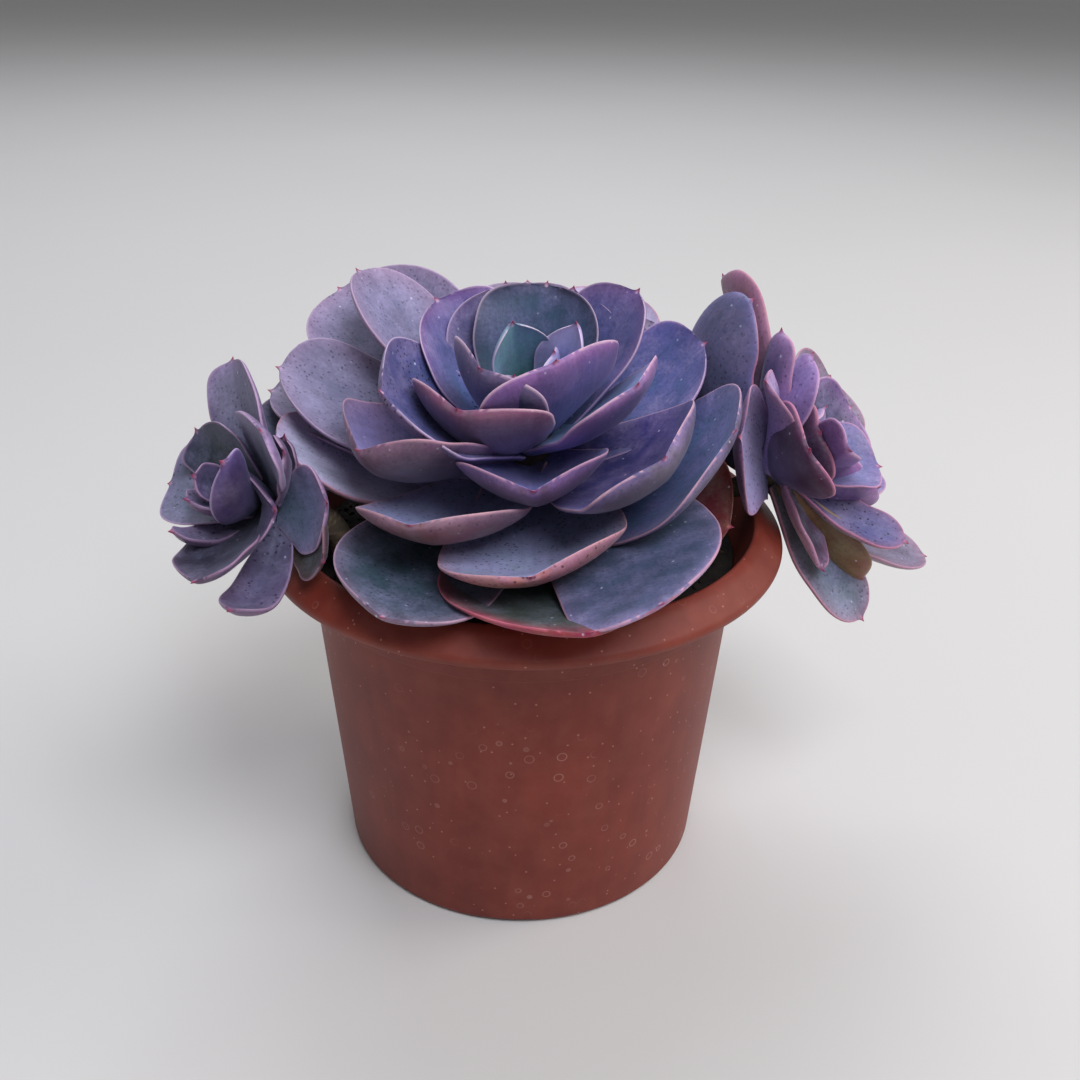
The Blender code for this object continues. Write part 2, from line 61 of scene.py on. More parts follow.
FOOT_NOTCH_HEIGHT = 1.6
DRAIN_HOLES = 6
DRAIN_CIRCLE = 42.0
DRAIN_RADIUS = 5.0
DRAIN_SIDES = 32


def paint(sheet):
    """An sRGB hex colour as linear light: c / 12.92 below 0.04045, and otherwise
    ((c + 0.055) / 1.055) ** 2.4."""
    c = np.array([int(sheet[i:i + 2], 16) / 255.0 for i in (0, 2, 4)])
    c = np.where(c < 0.04045, c / 12.92, ((c + 0.055) / 1.055) ** 2.4)
    return (float(c[0]), float(c[1]), float(c[2]), 1.0)


def set_inputs(material, node, inputs):
    """Sets or links a node's inputs, which go by name or number. Where a whole node is given, the
    first of its outputs that is in use is linked."""
    for name, value in inputs.items():
        if isinstance(value, bpy.types.Node):
            value = next(output for output in value.outputs if output.enabled)
        if isinstance(value, bpy.types.NodeSocket):
            material.node_tree.links.new(value, node.inputs[name])
        else:
            node.inputs[name].default_value = value


def add_node(material, kind, inputs=None, **fields):
    """Adds a shader node, sets its fields, and sets or links its inputs."""
    made = material.node_tree.nodes.new("ShaderNode" + kind)
    for name, value in fields.items():
        setattr(made, name, value)
    set_inputs(material, made, inputs or {})
    return made


def new_material(name):
    """A new material, its shader, and the place on the piece that its patterns read."""
    material = bpy.data.materials.new(name)
    material.use_nodes = True
    place = add_node(material, "TexCoord").outputs["Object"]
    return material, material.node_tree.nodes["Principled BSDF"], place


def rounded_profile(points, steps=4):
    """Each corner is swapped for the curve (1-t)^2 A + 2t(1-t) C + t^2 B, where C is the corner
    and A and B lie on its two sides, as far from it as its third number says."""
    p = np.array(points)
    corner, cut = p[1:-1, :2], p[1:-1, 2:]
    back, ahead = p[:-2, :2] - corner, p[2:, :2] - corner
    a = corner + back / np.linalg.norm(back, axis=1, keepdims=True) * cut
    b = corner + ahead / np.linalg.norm(ahead, axis=1, keepdims=True) * cut
    t = np.linspace(0.0, 1.0, steps)[None, :, None]
    curve = (1 - t) ** 2 * a[:, None] + 2 * t * (1 - t) * corner[:, None] + t * t * b[:, None]
    return np.concatenate([p[:1, :2], curve.reshape(-1, 2), p[-1:, :2]])


def ring_faces(rows, columns, first=0):
    """Faces of a closed form: a pole, rows of columns points that close into rings, and a pole.
    Points are counted from first: the first pole, then row after row, then the last pole."""
    j = np.arange(columns)
    after = (j + 1) % columns
    row = first + 1 + np.arange(rows - 1)[:, None] * columns
    quads = np.stack([row + j, row + after, row + columns + after, row + columns + j], -1)
    last = first + 1 + rows * columns
    start = np.stack([np.full(columns, first), first + 1 + after, first + 1 + j], -1)
    end = np.stack([last - columns + j, last - columns + after, np.full(columns, last)], -1)
    return quads.reshape(-1, 4), np.concatenate([start, end])


def new_piece(name, points, quads, tris, material):
    """A mesh object at the origin, from points in millimetres."""
    mesh = bpy.data.meshes.new(name)
    mesh.from_pydata(np.asarray(points) * 0.001, [], quads.tolist() + tris.tolist())
    mesh.shade_smooth()
    mesh.materials.append(material)
    piece = bpy.data.objects.new(name, mesh)
    bpy.context.scene.collection.objects.link(piece)
    return piece


def turned_points(profile, sides):
    """A profile of (radius, height) turned about Z: (r cos a, r sin a, z), a pole at each end."""
    a = -np.linspace(0.0, 2 * math.pi, sides, endpoint=False)
    r, z = profile[1:-1, :1], profile[1:-1, 1:]
    wall = np.stack([r * np.cos(a), r * np.sin(a), z + 0 * a], -1).reshape(-1, 3)
    return np.concatenate([[[0, 0, profile[0, 1]]], wall, [[0, 0, profile[-1, 1]]]])


def terracotta_polypropylene():
    """Matt moulded polypropylene: even colour, soft satin sheen, chalky water spots and scuffs."""
    m, shader, place = new_material("terracotta_polypropylene_moulded")
    # slow clouds in the pigment, 45 mm across, and upright flow streaks from the mould, 6 mm wide
    clouds = add_node(m, "TexNoise", {"Vector": place, "Scale": 1 / 0.045, "Detail": 3.0})
    tall = add_node(m, "Mapping", {"Vector": place, "Scale": (1.0, 1.0, 0.08)})
    flow = add_node(m, "TexNoise", {"Vector": tall, "Scale": 1 / 0.006})
    both = add_node(m, "Math", {0: flow, 1: 0.35, 2: clouds}, operation="MULTIPLY_ADD")
    shade = add_node(m, "MapRange", {"Value": both, "From Min": 0.45, "From Max": 0.95})
    body = add_node(m, "Mix", {0: shade, 6: paint("6a2013"), 7: paint("84301f")},
                    data_type="RGBA")
    # chalky film in patches 11 mm across, strongest on the flange, 95 mm up and above
    height = add_node(m, "SeparateXYZ", {0: place}).outputs["Z"]
    near_rim = add_node(m, "MapRange", {"Value": height, "From Min": 0.095, "From Max": 0.134})
    film = add_node(m, "TexNoise", {"Vector": place, "Scale": 1 / 0.011, "Detail": 5.0,
                                    "Roughness": 0.65})
    film_amount = add_node(m, "MapRange", {"Value": film, "From Min": 0.42, "From Max": 0.78,
                                           "To Max": 0.13})
    film_here = add_node(m, "Math", {0: near_rim, 1: 0.03, 2: film_amount},
                         operation="MULTIPLY_ADD")
    filmed = add_node(m, "Mix", {0: film_here, 6: body, 7: paint("b07260")}, data_type="RGBA")
    # dried drops: thin rings 2 to 4 mm across, in patches
    drops = add_node(m, "TexVoronoi", {"Vector": place, "Scale": 1 / 0.0085})
    ring = add_node(m, "Math", {0: drops, 1: 0.19, 2: 0.022}, operation="COMPARE")
    patch = add_node(m, "MapRange", {"Value": clouds, "From Min": 0.48, "From Max": 0.62,
                                     "To Max": 0.28})
    ring_here = add_node(m, "Math", {0: ring, 1: patch}, operation="MULTIPLY")
    ringed = add_node(m, "Mix", {0: ring_here, 6: filmed, 7: paint("cfa79b")}, data_type="RGBA")
    # grit and lint: pale specks under half a millimetre across
    grit = add_node(m, "TexVoronoi", {"Vector": place, "Scale": 1 / 0.0042})
    speck = add_node(m, "MapRange", {"Value": grit, "From Min": 0.05, "From Max": 0.11,
                                     "To Min": 0.5, "To Max": 0.0})
    specked = add_node(m, "Mix", {0: speck, 6: ringed, 7: paint("c99484")}, data_type="RGBA")
    # satin where the film is thin, and a fine moulded grain 1.2 mm across
    rough = add_node(m, "MapRange", {"Value": film, "To Min": 0.46, "To Max": 0.62})
    grain = add_node(m, "TexNoise", {"Vector": place, "Scale": 1 / 0.0012})
    raised = add_node(m, "Math", {0: flow, 1: 0.8, 2: grain}, operation="MULTIPLY_ADD")
    bump = add_node(m, "Bump", {"Height": raised, "Strength": 0.25, "Distance": 0.00012})
    set_inputs(m, shader, {"Base Color": specked, "Roughness": rough, "Normal": bump, "IOR": 1.46})
    return m


pot_profile = rounded_profile(POT_PROFILE)
pot_points = turned_points(pot_profile, POT_SIDES)
# The foot ring is lifted in four places, where water runs out from under the pot. The ends of a
# notch slope over 1.2 mm, from 0.4 mm outside its width.
pot_radius = np.hypot(pot_points[:, 0], pot_points[:, 1])
turn = np.degrees(np.arctan2(pot_points[:, 1], pot_points[:, 0])) - FOOT_NOTCH_TURN
from_notch = np.radians((turn + 45.0) % 90.0 - 45.0) * pot_radius
in_notch = np.clip((FOOT_NOTCH_WIDTH / 2 + 0.4 - np.abs(from_notch)) / 1.2, 0, 1)
in_notch *= (pot_radius > FOOT_RING_INSIDE) & (pot_points[:, 2] < FOOT_NOTCH_HEIGHT)
pot_points[:, 2] += (FOOT_NOTCH_HEIGHT - pot_points[:, 2]) * in_notch
pot = new_piece("pot_shell", pot_points, *ring_faces(len(pot_profile) - 2, POT_SIDES),
                terracotta_polypropylene())
# Six drain cutters, turned cylinders that reach from above the floor to under the foot, are taken
# from the pot and then thrown away. Each is turned about itself by 3 degrees, so that none of its
# corners falls on an edge of the floor.
drain = turned_points(np.array([(0, 9), (DRAIN_RADIUS, 9), (DRAIN_RADIUS, -2), (0, -2)], float),
                      DRAIN_SIDES)
cos_3, sin_3 = math.cos(math.radians(3.0)), math.sin(math.radians(3.0))
drain = drain @ np.array([[cos_3, sin_3, 0.0], [-sin_3, cos_3, 0.0], [0.0, 0.0, 1.0]])
drain_quads, drain_tris = ring_faces(2, DRAIN_SIDES)
angles = np.radians(np.arange(DRAIN_HOLES) * 360.0 / DRAIN_HOLES)
places = np.stack([DRAIN_CIRCLE * np.cos(angles), DRAIN_CIRCLE * np.sin(angles), 0 * angles], -1)
shift = np.arange(DRAIN_HOLES)[:, None, None] * len(drain)
cutter = new_piece("drain_cutters", (drain[None] + places[:, None]).reshape(-1, 3),
                   (drain_quads[None] + shift).reshape(-1, 4),
                   (drain_tris[None] + shift).reshape(-1, 3), pot.data.materials[0])
holes = pot.modifiers.new("drain_holes", "BOOLEAN")
holes.object, holes.operation = cutter, "DIFFERENCE"
bpy.context.view_layer.update()
drilled = bpy.data.meshes.new_from_object(pot.evaluated_get(bpy.context.evaluated_depsgraph_get()))
pot.modifiers.clear()
pot.data = drilled
bpy.data.objects.remove(cutter, do_unlink=True)
pot.data.set_sharp_from_angle(angle=math.radians(40.0))
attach(pot, "root")
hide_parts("pot")


# ---- Soil --------------------------------------------------------------------------------
# Dark peat potting mix with bark crumbs and a few white perlite grains, pressed in up to about
# 14 mm below the pot's mouth. Most of it is hidden under the leaves.
SOIL_SECTION = (               # radius and height, from the middle of the top to the floor
    (0.0, 126.0), (34.0, 125.6), (60.0, 124.6), (73.2, 125.0), (77.7, 124.4), (77.0, 122.6),
    (75.6, 113.6), (66.1, 9.0), (62.9, 5.8), (0.0, 5.8),
)
SOIL_RINGS = 84
SOIL_SIDES = 300
SOIL_SINK = 0.9                # how far lumps and crumbs lie below the section, on the whole
CRUMBS = 900
CRUMB_SPREAD = 75.5            # radius of the round area that crumbs lie on


def lumps(x, y, size, seed):
    """Smooth random heights from -1 to 1: random corner values on squares of the given size,
    blended between the corners by 3t^2 - 2t^3."""
    corner = np.random.default_rng(seed).uniform(-1, 1, (96, 96))
    u, v = x / size + 40.0, y / size + 40.0
    i, j = np.floor(u).astype(int), np.floor(v).astype(int)
    a, b = (u - i) ** 2 * (3 - 2 * (u - i)), (v - j) ** 2 * (3 - 2 * (v - j))
    i, j = i % 95, j % 95
    low = corner[i, j] * (1 - a) + corner[i + 1, j] * a
    high = corner[i, j + 1] * (1 - a) + corner[i + 1, j + 1] * a
    return low * (1 - b) + high * b


def peat():
    """Damp peat: nearly black, dull, in clumps 3 mm across, broken up by brown bark and white
    perlite grains."""
    m, shader, place = new_material("peat_potting_mix")
    tint = add_node(m, "Attribute", attribute_name="grain")
    clumps = add_node(m, "TexNoise", {"Vector": place, "Scale": 1 / 0.003, "Detail": 6.0,
                                      "Roughness": 0.7})
    light = add_node(m, "MapRange", {"Value": clumps, "From Min": 0.3, "From Max": 0.75,
                                     "To Min": 0.45, "To Max": 1.8})
    body = add_node(m, "VectorMath", {0: tint, 3: light}, operation="SCALE")
    bump = add_node(m, "Bump", {"Height": clumps, "Strength": 0.9, "Distance": 0.0008})
    set_inputs(m, shader, {"Base Color": body, "Normal": bump, "Roughness": 0.92,
                           "Specular IOR Level": 0.25})
    return m


section = np.array(SOIL_SECTION)
section_r, section_z = section[:5].T
top_r = np.linspace(1.0, section_r[-1], SOIL_RINGS)
soil_profile = np.concatenate([section[:1],
                               np.stack([top_r, np.interp(top_r, section_r, section_z)], -1),
                               section[5:]])
soil_points = turned_points(soil_profile, SOIL_SIDES)
x, y = soil_points[:, 0], soil_points[:, 1]
# The top is lumpy, at three sizes, and evens out over the last 2 mm before the pot's wall
on_top = (soil_points[:, 2] > 123.5) * np.clip((78.2 - np.hypot(x, y)) / 2.0, 0, 1)
rough_top = (0.7 * lumps(x, y, 9.0, 1) + 0.6 * lumps(x, y, 3.2, 2)
             + 0.5 * np.abs(lumps(x, y, 1.3, 3)))
soil_points[:, 2] += on_top * (rough_top - SOIL_SINK)
soil_quads, soil_tris = ring_faces(len(soil_profile) - 2, SOIL_SIDES)
rng = np.random.default_rng(11)
# Crumbs: icosahedra stretched at random, half sunk, darker or browner or, rarely, white
g = (1 + math.sqrt(5)) / 2     # the golden ratio, which gives an icosahedron's corners
ico = np.array([(-1, g, 0), (1, g, 0), (-1, -g, 0), (1, -g, 0), (0, -1, g), (0, 1, g), (0, -1, -g),
                (0, 1, -g), (g, 0, -1), (g, 0, 1), (-g, 0, -1), (-g, 0, 1)]) / math.hypot(1, g)
ico_tris = np.array([(0, 11, 5), (0, 5, 1), (0, 1, 7), (0, 7, 10), (0, 10, 11), (1, 5, 9),
                     (5, 11, 4), (11, 10, 2), (10, 7, 6), (7, 1, 8), (3, 9, 4), (3, 4, 2),
                     (3, 2, 6), (3, 6, 8), (3, 8, 9), (4, 9, 5), (2, 4, 11), (6, 2, 10),
                     (8, 6, 7), (9, 8, 1)])
crumb_r = CRUMB_SPREAD * np.sqrt(rng.uniform(0, 1, CRUMBS))
crumb_a = rng.uniform(0, 2 * math.pi, CRUMBS)
size = rng.uniform(0.5, 1.5, (CRUMBS, 1, 1)) * rng.uniform(0.6, 1.2, (CRUMBS, 1, 3))
middle = np.stack([crumb_r * np.cos(crumb_a), crumb_r * np.sin(crumb_a),
                   np.interp(crumb_r, section_r, section_z) - SOIL_SINK], -1)[:, None]
crumb_points = ico[None] * size * rng.uniform(0.8, 1.2, (CRUMBS, 12, 3)) + middle
crumb_tris = ico_tris[None] + (len(soil_points) + 12 * np.arange(CRUMBS))[:, None, None]
soil = new_piece("soil_fill", np.concatenate([soil_points, crumb_points.reshape(-1, 3)]),
                 soil_quads, np.concatenate([soil_tris, crumb_tris.reshape(-1, 3)]), peat())
kind = rng.uniform(0, 1, CRUMBS)
crumb_tint = np.where(kind[:, None] > 0.97, paint("b8b2a6"),
                      np.where(kind[:, None] > 0.6, paint("3a2a20"), paint("1e1815")))
grain = np.concatenate([np.tile(paint("1d1713"), (len(soil_points), 1)),
                        np.repeat(crumb_tint, 12, axis=0)])
soil.data.attributes.new("grain", "FLOAT_COLOR", "POINT").data.foreach_set("color", grain.ravel())
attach(soil, "root")
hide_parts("soil")


# ---- Stems -------------------------------------------------------------------------------
# Each rosette grows on a bare stem, green-brown and corky, ringed by the scars of fallen leaves.
# The thick one stands in the middle of the soil, and two thin ones lean out over the pot's edge.
SOIL_TOP = 125.0
STEM_RISE = 1.5                # how far a stem goes on straight above the soil
STEM_SIDES = 28
STEM_RINGS = 72
STRAIGHT_RINGS = 8             # how many of a stem's rings are in the soil
SCAR_STEP = 5.2                # distance between leaf scars along a stem

# foot: where it stands. depth: how far it goes into the soil. pull: how far it keeps to its first
# and last directions, as shares of its length. centre: the middle of its rosette, which leans by
# lean toward compass. core_foot: how far below that middle the rosette's core begins.
Stem = namedtuple("Stem", "name foot radius depth pull centre compass lean core_foot")
STEMS = (
    Stem("main_stem", (0.6, 15.0), 8.5, 30.0, (0.35, 0.35), (0.6, 9.5, 148.0), -90.0, 20.0, 9.0),
    Stem("right_stem", (67.0, 4.5), 3.8, 22.0, (0.8, 0.22), (89.6, 5.5, 149.0), 2.0, 48.0, 4.5),
    Stem("left_stem", (-62.0, -28.0), 4.4, 22.0, (0.8, 0.22), (-83.2, -36.3, 156.0), 225.0, 51.0,
         6.0),
)


def rosette_axes(stem):
    """Three unit vectors: two across a rosette, and its axis, which leans toward the compass."""
    a, b = math.radians(stem.compass), math.radians(stem.lean)
    axis = np.array([math.sin(b) * math.cos(a), math.sin(b) * math.sin(a), math.cos(b)])
    across = np.array([1.0, 0.0, 0.0]) - axis * axis[0]
    across /= np.linalg.norm(across)
    return across, np.cross(axis, across), axis


def tube_points(path, radii, sides):
    """Rings of radius radii about each point of a path, square to it:
    point + radius (cos a side + sin a up), closed by a pole at each end. Side is square to a
    direction that no stem here runs along."""
    along = np.gradient(path, axis=0)
    along /= np.linalg.norm(along, axis=1, keepdims=True)
    side = np.cross(along, [0.13, 0.99, 0.05])
    side /= np.linalg.norm(side, axis=1, keepdims=True)
    up = np.cross(along, side)
    a = np.linspace(0, 2 * math.pi, sides, endpoint=False)[None, :, None]
    rings = path[:, None] + radii[..., None] * (np.cos(a) * side[:, None] + np.sin(a) * up[:, None])
    return np.concatenate([path[:1], rings.reshape(-1, 3), path[-1:]])


def corky_stem():
    """Succulent stem: grey-green skin gone brown and dull in patches 4 mm across, with paler corky
    scars round it."""
    m, shader, place = new_material("succulent_stem_corky")
    scar = add_node(m, "Attribute", attribute_name="scar").outputs["Fac"]
    patches = add_node(m, "TexNoise", {"Vector": place, "Scale": 1 / 0.004, "Detail": 5.0,
                                       "Roughness": 0.6})
    body = add_node(m, "Mix", {0: patches, 6: paint("38382a"), 7: paint("5c4a3a")},
                    data_type="RGBA")
    scarred = add_node(m, "Mix", {0: scar, 6: body, 7: paint("786450")}, data_type="RGBA")
    bump = add_node(m, "Bump", {"Height": patches, "Strength": 0.6, "Distance": 0.0006})
    set_inputs(m, shader, {"Base Color": scarred, "Normal": bump, "Roughness": 0.78})
    return m


stem_skin = corky_stem()
for stem in STEMS:
    axis = rosette_axes(stem)[2]
    sill = np.array([*stem.foot, SOIL_TOP + STEM_RISE])
    end = np.array(stem.centre) - axis * (stem.core_foot - 1.0)
    reach = np.linalg.norm(end - sill)
    pull_a = sill + np.array([0.0, 0.0, stem.pull[0] * reach])
    pull_b = end - axis * stem.pull[1] * reach
    t = np.linspace(0, 1, STEM_RINGS - STRAIGHT_RINGS)[:, None]
    bend = ((1 - t) ** 3 * sill + 3 * t * (1 - t) ** 2 * pull_a + 3 * t * t * (1 - t) * pull_b
            + t ** 3 * end)
    sunk = np.linspace(-stem.depth - STEM_RISE, -0.6, STRAIGHT_RINGS)
    path = np.concatenate([sill + sunk[:, None] * np.array([0, 0, 1.0]), bend])
    run = np.concatenate([[0], np.cumsum(np.linalg.norm(np.diff(path, axis=0), axis=1))])
    a = np.linspace(0, 2 * math.pi, STEM_SIDES, endpoint=False)[None]
    # scars climb round the stem: a ridge where the run plus a slow turn meets a whole step
    phase = (run[:, None] + SCAR_STEP * 0.6 * np.sin(a + 0.8 * run[:, None])) / SCAR_STEP
    ridge = np.clip(1 - 5.0 * np.abs(phase - np.round(phase)), 0, 1) ** 1.5
    radii = stem.radius * (0.97 + 0.02 * np.sin(2 * a + run[:, None] / 7)) + 0.28 * ridge
    piece = new_piece(stem.name + "_bark", tube_points(path, radii, STEM_SIDES),
                      *ring_faces(STEM_RINGS, STEM_SIDES), stem_skin)
    scar = piece.data.attributes.new("scar", "FLOAT", "POINT")
    scar.data.foreach_set("value", np.concatenate([[0.0], ridge.ravel(), [0.0]]))
    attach(piece, "root")
    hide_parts(stem.name)


# ---- Large rosette -----------------------------------------------------------------------
# Forty thick spoon-shaped leaves on a short core: a lilac-grey outer ring, blue-violet leaves
# between, and a teal heart. Each has a waxy bloom that rubs and spots, a rounded margin with a
# fine pink line, and a short red point. They overlap in spirals from the lowest to the heart.
LEAF_THICKNESS = 6.2
LEAF_POINT = 2.2               # length of the little point at the tip
LEAF_NECK = 0.5                # width of the base as a share of the leaf's width
LEAF_BELLY = 0.62              # where along its length a leaf is widest
LEAF_CLOSING = 0.46            # power that the outline closes by at the tip
LEAF_SIDES = 52

# look: which entry of the looks a leaf takes its colours from. turn: direction round the axis.
# rise and tip: slope of the midrib at its base and end. lift and root: where it grows from. roll:
# turn about the midrib. sweep: how far the tip bends sideways. cup, fold: how far the margins
# rise, round or with a crease. curl: how far the tip bends out of the arc.
Leaf = namedtuple("Leaf", "look turn length width rise tip lift roll sweep cup fold root curl",
                  defaults=(0.0, 0.0, 0.28, 0.0, None, 0.0))

# Colours of a leaf: the middle of its upper face, the upper face near its base (darker, partly
# painted shade where the leaves overlap), the wash along its margin, its underside, and the line on
# its margin (partly a painted highlight on the edge). speckle: how many dark flecks it has.
# bloom: how much pale wax is left on it. wash: how far the margin's colour runs in, in mm.
# The colours are set to how bright each leaf looks in its place, so they hold painted light and
# shade: leaves that these lamps leave shaded by the leaves above are painted paler, as if lit, and
# leaves that lie in deep shade are painted darker.
Look = namedtuple("Look", "blade base blush under rim speckle bloom wash",
                  defaults=(0.3, 0.5, 4.0))
MAIN_LOOKS = {
    "red_tipped": Look("283825", "192b1a", "a8424c", "8c3e44", "e0788a", 0.2, 0.35, 5.0),
    # dark_slate is darker with painted shade, for low leaves that lie in shade under the others
    "dark_slate": Look("4a5062", "3a4450", "6c6074", "5a4850", "a890a8", 0.4, 0.5),
    "slate_green": Look("404f5d", "243e33", "7f697f", "704c54", "d0a4b8", 0.6, 0.6, 5.0),
    "slate_blue": Look("485271", "213f3d", "897aa0", "a85c60", "e4a4b4", 0.3, 0.6),
    # slate_lilac is paler with painted light, for leaves that the leaves above shade from these
    # lamps
    "slate_lilac": Look("c6c2da", "98a6ba", "c0a4c0", "8a4c48", "c87c80", 0.4, 0.6),
    "rust": Look("542924", "3b211c", "88493c", "8c4a3a", "c07a68", 0.2, 0.2),
    "blue_lavender": Look("5d6797", "3e4a76", "7c6c94", "392629", "e0acba", 0.4, 0.6),
    "salmon_under": Look("a6a9cc", "646d8a", "c494a8", "c67e6c", "e8a8a8", 0.7, 0.6, 3.5),
    "wine_under": Look("b1b5de", "626278", "a8859a", "84594d", "e2aaac", 0.5, 0.5, 3.5),
    "powder": Look("7b758e", "606c7f", "97829c", "8a6a84", "c4a8c4", 0.55, 0.7, 6.0),
    "powder_pink": Look("7f7997", "637289", "a488a4", "8a5c64", "ccacc8", 0.45, 0.7, 6.0),
    "mauve_wine": Look("a092c4", "626284", "9b708c", "5f4d4c", "e0a8b0", 0.3, 0.5),
    "speckled_violet": Look("585285", "5867a2", "725b85", "504150", "e2c6e2", 1.0, 0.6, 3.0),
    "blue_violet": Look("575991", "323e61", "806ea3", "7a6a94", "dab4d2", 0.25, 0.7),
    "violet_rose": Look("5a4989", "302959", "7d679a", "594b54", "e8b4b8", 0.3, 0.6, 3.0),
    "violet_deep": Look("9a90cc", "62679a", "8c6ca0", "664b57", "e4acb8", 0.2, 0.5, 3.0),
    "lavender": Look("635d83", "465779", "856f97", "8c7aa8", "dcc0dc", 0.2, 0.7),
    "violet_band": Look("625f93", "496a93", "8c6497", "7c6c9c", "e8c8de", 0.2, 0.6, 5.0),
    "teal_grey": Look("43516c", "234753", "4c3d53", "5c5c7e", "e4c8dc", 0.2, 0.5, 3.0),
    "plum_under": Look("7c6e9e", "4a5078", "985971", "6c5b65", "eabcc8", 0.1, 0.5, 4.0),
    "slate_plum": Look("929fc8", "6484aa", "a3749e", "685686", "e8b8c8", 0.1, 0.5, 3.0),
    "plum_wine": Look("7c8cbc", "56688e", "966397", "7b6898", "ecc0cc", 0.1, 0.6, 6.0),
    "slate_violet": Look("887cac", "5c6c8c", "886a8c", "575e7c", "eac4d4", 0.1, 0.5, 3.0),
    "teal": Look("779ea3", "4e9089", "7695a3", "8490bc", "ead2de", 0.1, 0.5, 3.0),
    "pale_heart": Look("c2c2e4", "609e9e", "c1add5", "9498c4", "eed6e6", 0.0, 0.8, 2.5),
}
MAIN_LEAVES = (
    # lowest leaves, spread over the soil and the rim
    Leaf("red_tipped", 274, 113, 71, -4, 62, -1, roll=6, sweep=10, cup=0.16, fold=0.05, curl=-13),
    Leaf("dark_slate", 176, 98, 50, -4, 24, -3),
    Leaf("slate_green", 236, 104, 60, -6, 42, 3, roll=6, sweep=19, cup=0.2, curl=-1),
    Leaf("slate_blue", 314, 107, 68, 6, 49, 2, roll=-5, sweep=-44, cup=0.02, curl=-2),
    Leaf("slate_lilac", 193, 90, 50, 3, 43, -3, roll=9, cup=0.16, curl=2),
    Leaf("rust", 331, 74, 60, -3, 22, -4, roll=13, sweep=3, curl=1),
    Leaf("blue_lavender", 329, 91, 69, 6, 60, 3, roll=9, sweep=4, cup=0.16, curl=6),
    Leaf("salmon_under", 277, 92, 62, -6, 51, 8, roll=8, sweep=-9, curl=1),
    Leaf("wine_under", 244, 85, 54, -2, 53, 8, roll=17, fold=0.05, curl=3),
    Leaf("dark_slate", 8, 58, 46, -4, 18, -3),
    Leaf("dark_slate", 148, 92, 50, -2, 14, -3),
    # leaves of the outer ring at the back
    Leaf("powder", 168, 92, 49, 3, 21, 0, roll=10, sweep=-1),
    Leaf("powder", 175, 89, 57, 14, 30, 2, roll=7, sweep=-6, cup=0.22, curl=1),
    Leaf("powder_pink", 135, 99, 62, 16, 17, 1, roll=-9, sweep=2),
    Leaf("powder_pink", 139, 89, 51, 23, 36, 4, roll=27, cup=0.22, curl=1),
    Leaf("powder", 52, 77, 53, 16, 14, 0, roll=-10, sweep=-5, cup=0.3, fold=0.05),
    Leaf("powder", 90, 90, 54, 0, 20, 0),
    Leaf("slate_lilac", 66, 87, 52, 2, 23, 1),
    Leaf("powder", 116, 66, 54, 10, 32, 3),
    Leaf("dark_slate", 112, 74, 48, -22, 2, -5),
    Leaf("slate_green", 52, 70, 48, -24, 4, -5),
    Leaf("powder", 56, 66, 52, 10, 38, 3),
    # middle ring
    Leaf("mauve_wine", 211, 76, 56, 8, 43, 13, roll=21, sweep=15, cup=0.44, fold=0.2, curl=10),
    Leaf("speckled_violet", 196, 64, 62, 29, 56, 18, roll=2, sweep=15, curl=2),
    Leaf("blue_violet", 14, 71, 50, 18, 40, 5, roll=-2, sweep=8, cup=0.24, curl=2),
    Leaf("violet_rose", 327, 90, 68, 8, 76, 9, roll=-4, sweep=-30, curl=2),
    Leaf("violet_deep", 277, 67, 50, 22, 47, 10, sweep=-5, cup=0.4, fold=0.15, curl=3),
    Leaf("lavender", 69, 58, 50, 34, 60, 8),
    Leaf("lavender", 100, 58, 48, 34, 60, 8),
    # inner ring, standing up around the heart
    Leaf("violet_band", 137, 57, 44, 38, 40, 11, roll=1, sweep=-6, fold=0.3, curl=1),
    Leaf("violet_band", 41, 63, 40, 40, 52, 12, roll=-8, sweep=-1, cup=0.26, fold=0.15),
    Leaf("teal_grey", 76, 51, 47, 57, 41, 16, roll=-10, sweep=3, cup=0.34, fold=0.05),
    Leaf("plum_under", 233, 55, 53, 29, 72, 19, roll=12, sweep=4, cup=0.34, fold=0.15),
    Leaf("slate_plum", 336, 62, 52, 35, 66, 18, roll=-12, sweep=-13, cup=0.2, curl=3),
    Leaf("plum_wine", 307, 49, 58, 62, 75, 25, roll=-1, sweep=-7, cup=0.12, curl=1),
    Leaf("slate_violet", 227, 47, 44, 59, 56, 25, roll=-3, sweep=5, cup=0.36, fold=0.05, curl=6),
    Leaf("teal", 117, 39, 24, 85, 103, 26, roll=4, sweep=3, fold=0.3, curl=-1),
    Leaf("pale_heart", 21, 37, 19, 61, 102, 28, roll=28, sweep=-5, fold=0.4, curl=-5),
    Leaf("pale_heart", 340, 28, 18, 80, 90, 30),
    Leaf("pale_heart", 240, 20, 12, 80, 90, 31),
)


def leaf_outline(s):
    """A leaf's width at s as a share of its greatest: it widens from the neck to the belly as a
    sine to the power 1.5, and from there to the tip closes as (1 - y^3)^0.46."""
    x, y = np.clip(s / LEAF_BELLY, 0, 1), np.clip((s - LEAF_BELLY) / (1 - LEAF_BELLY), 0, 1)
    return np.where(s < LEAF_BELLY, LEAF_NECK + (1 - LEAF_NECK) * np.sin(x * math.pi / 2) ** 1.5,
                    np.clip(1 - y ** 3, 0, 1) ** LEAF_CLOSING)


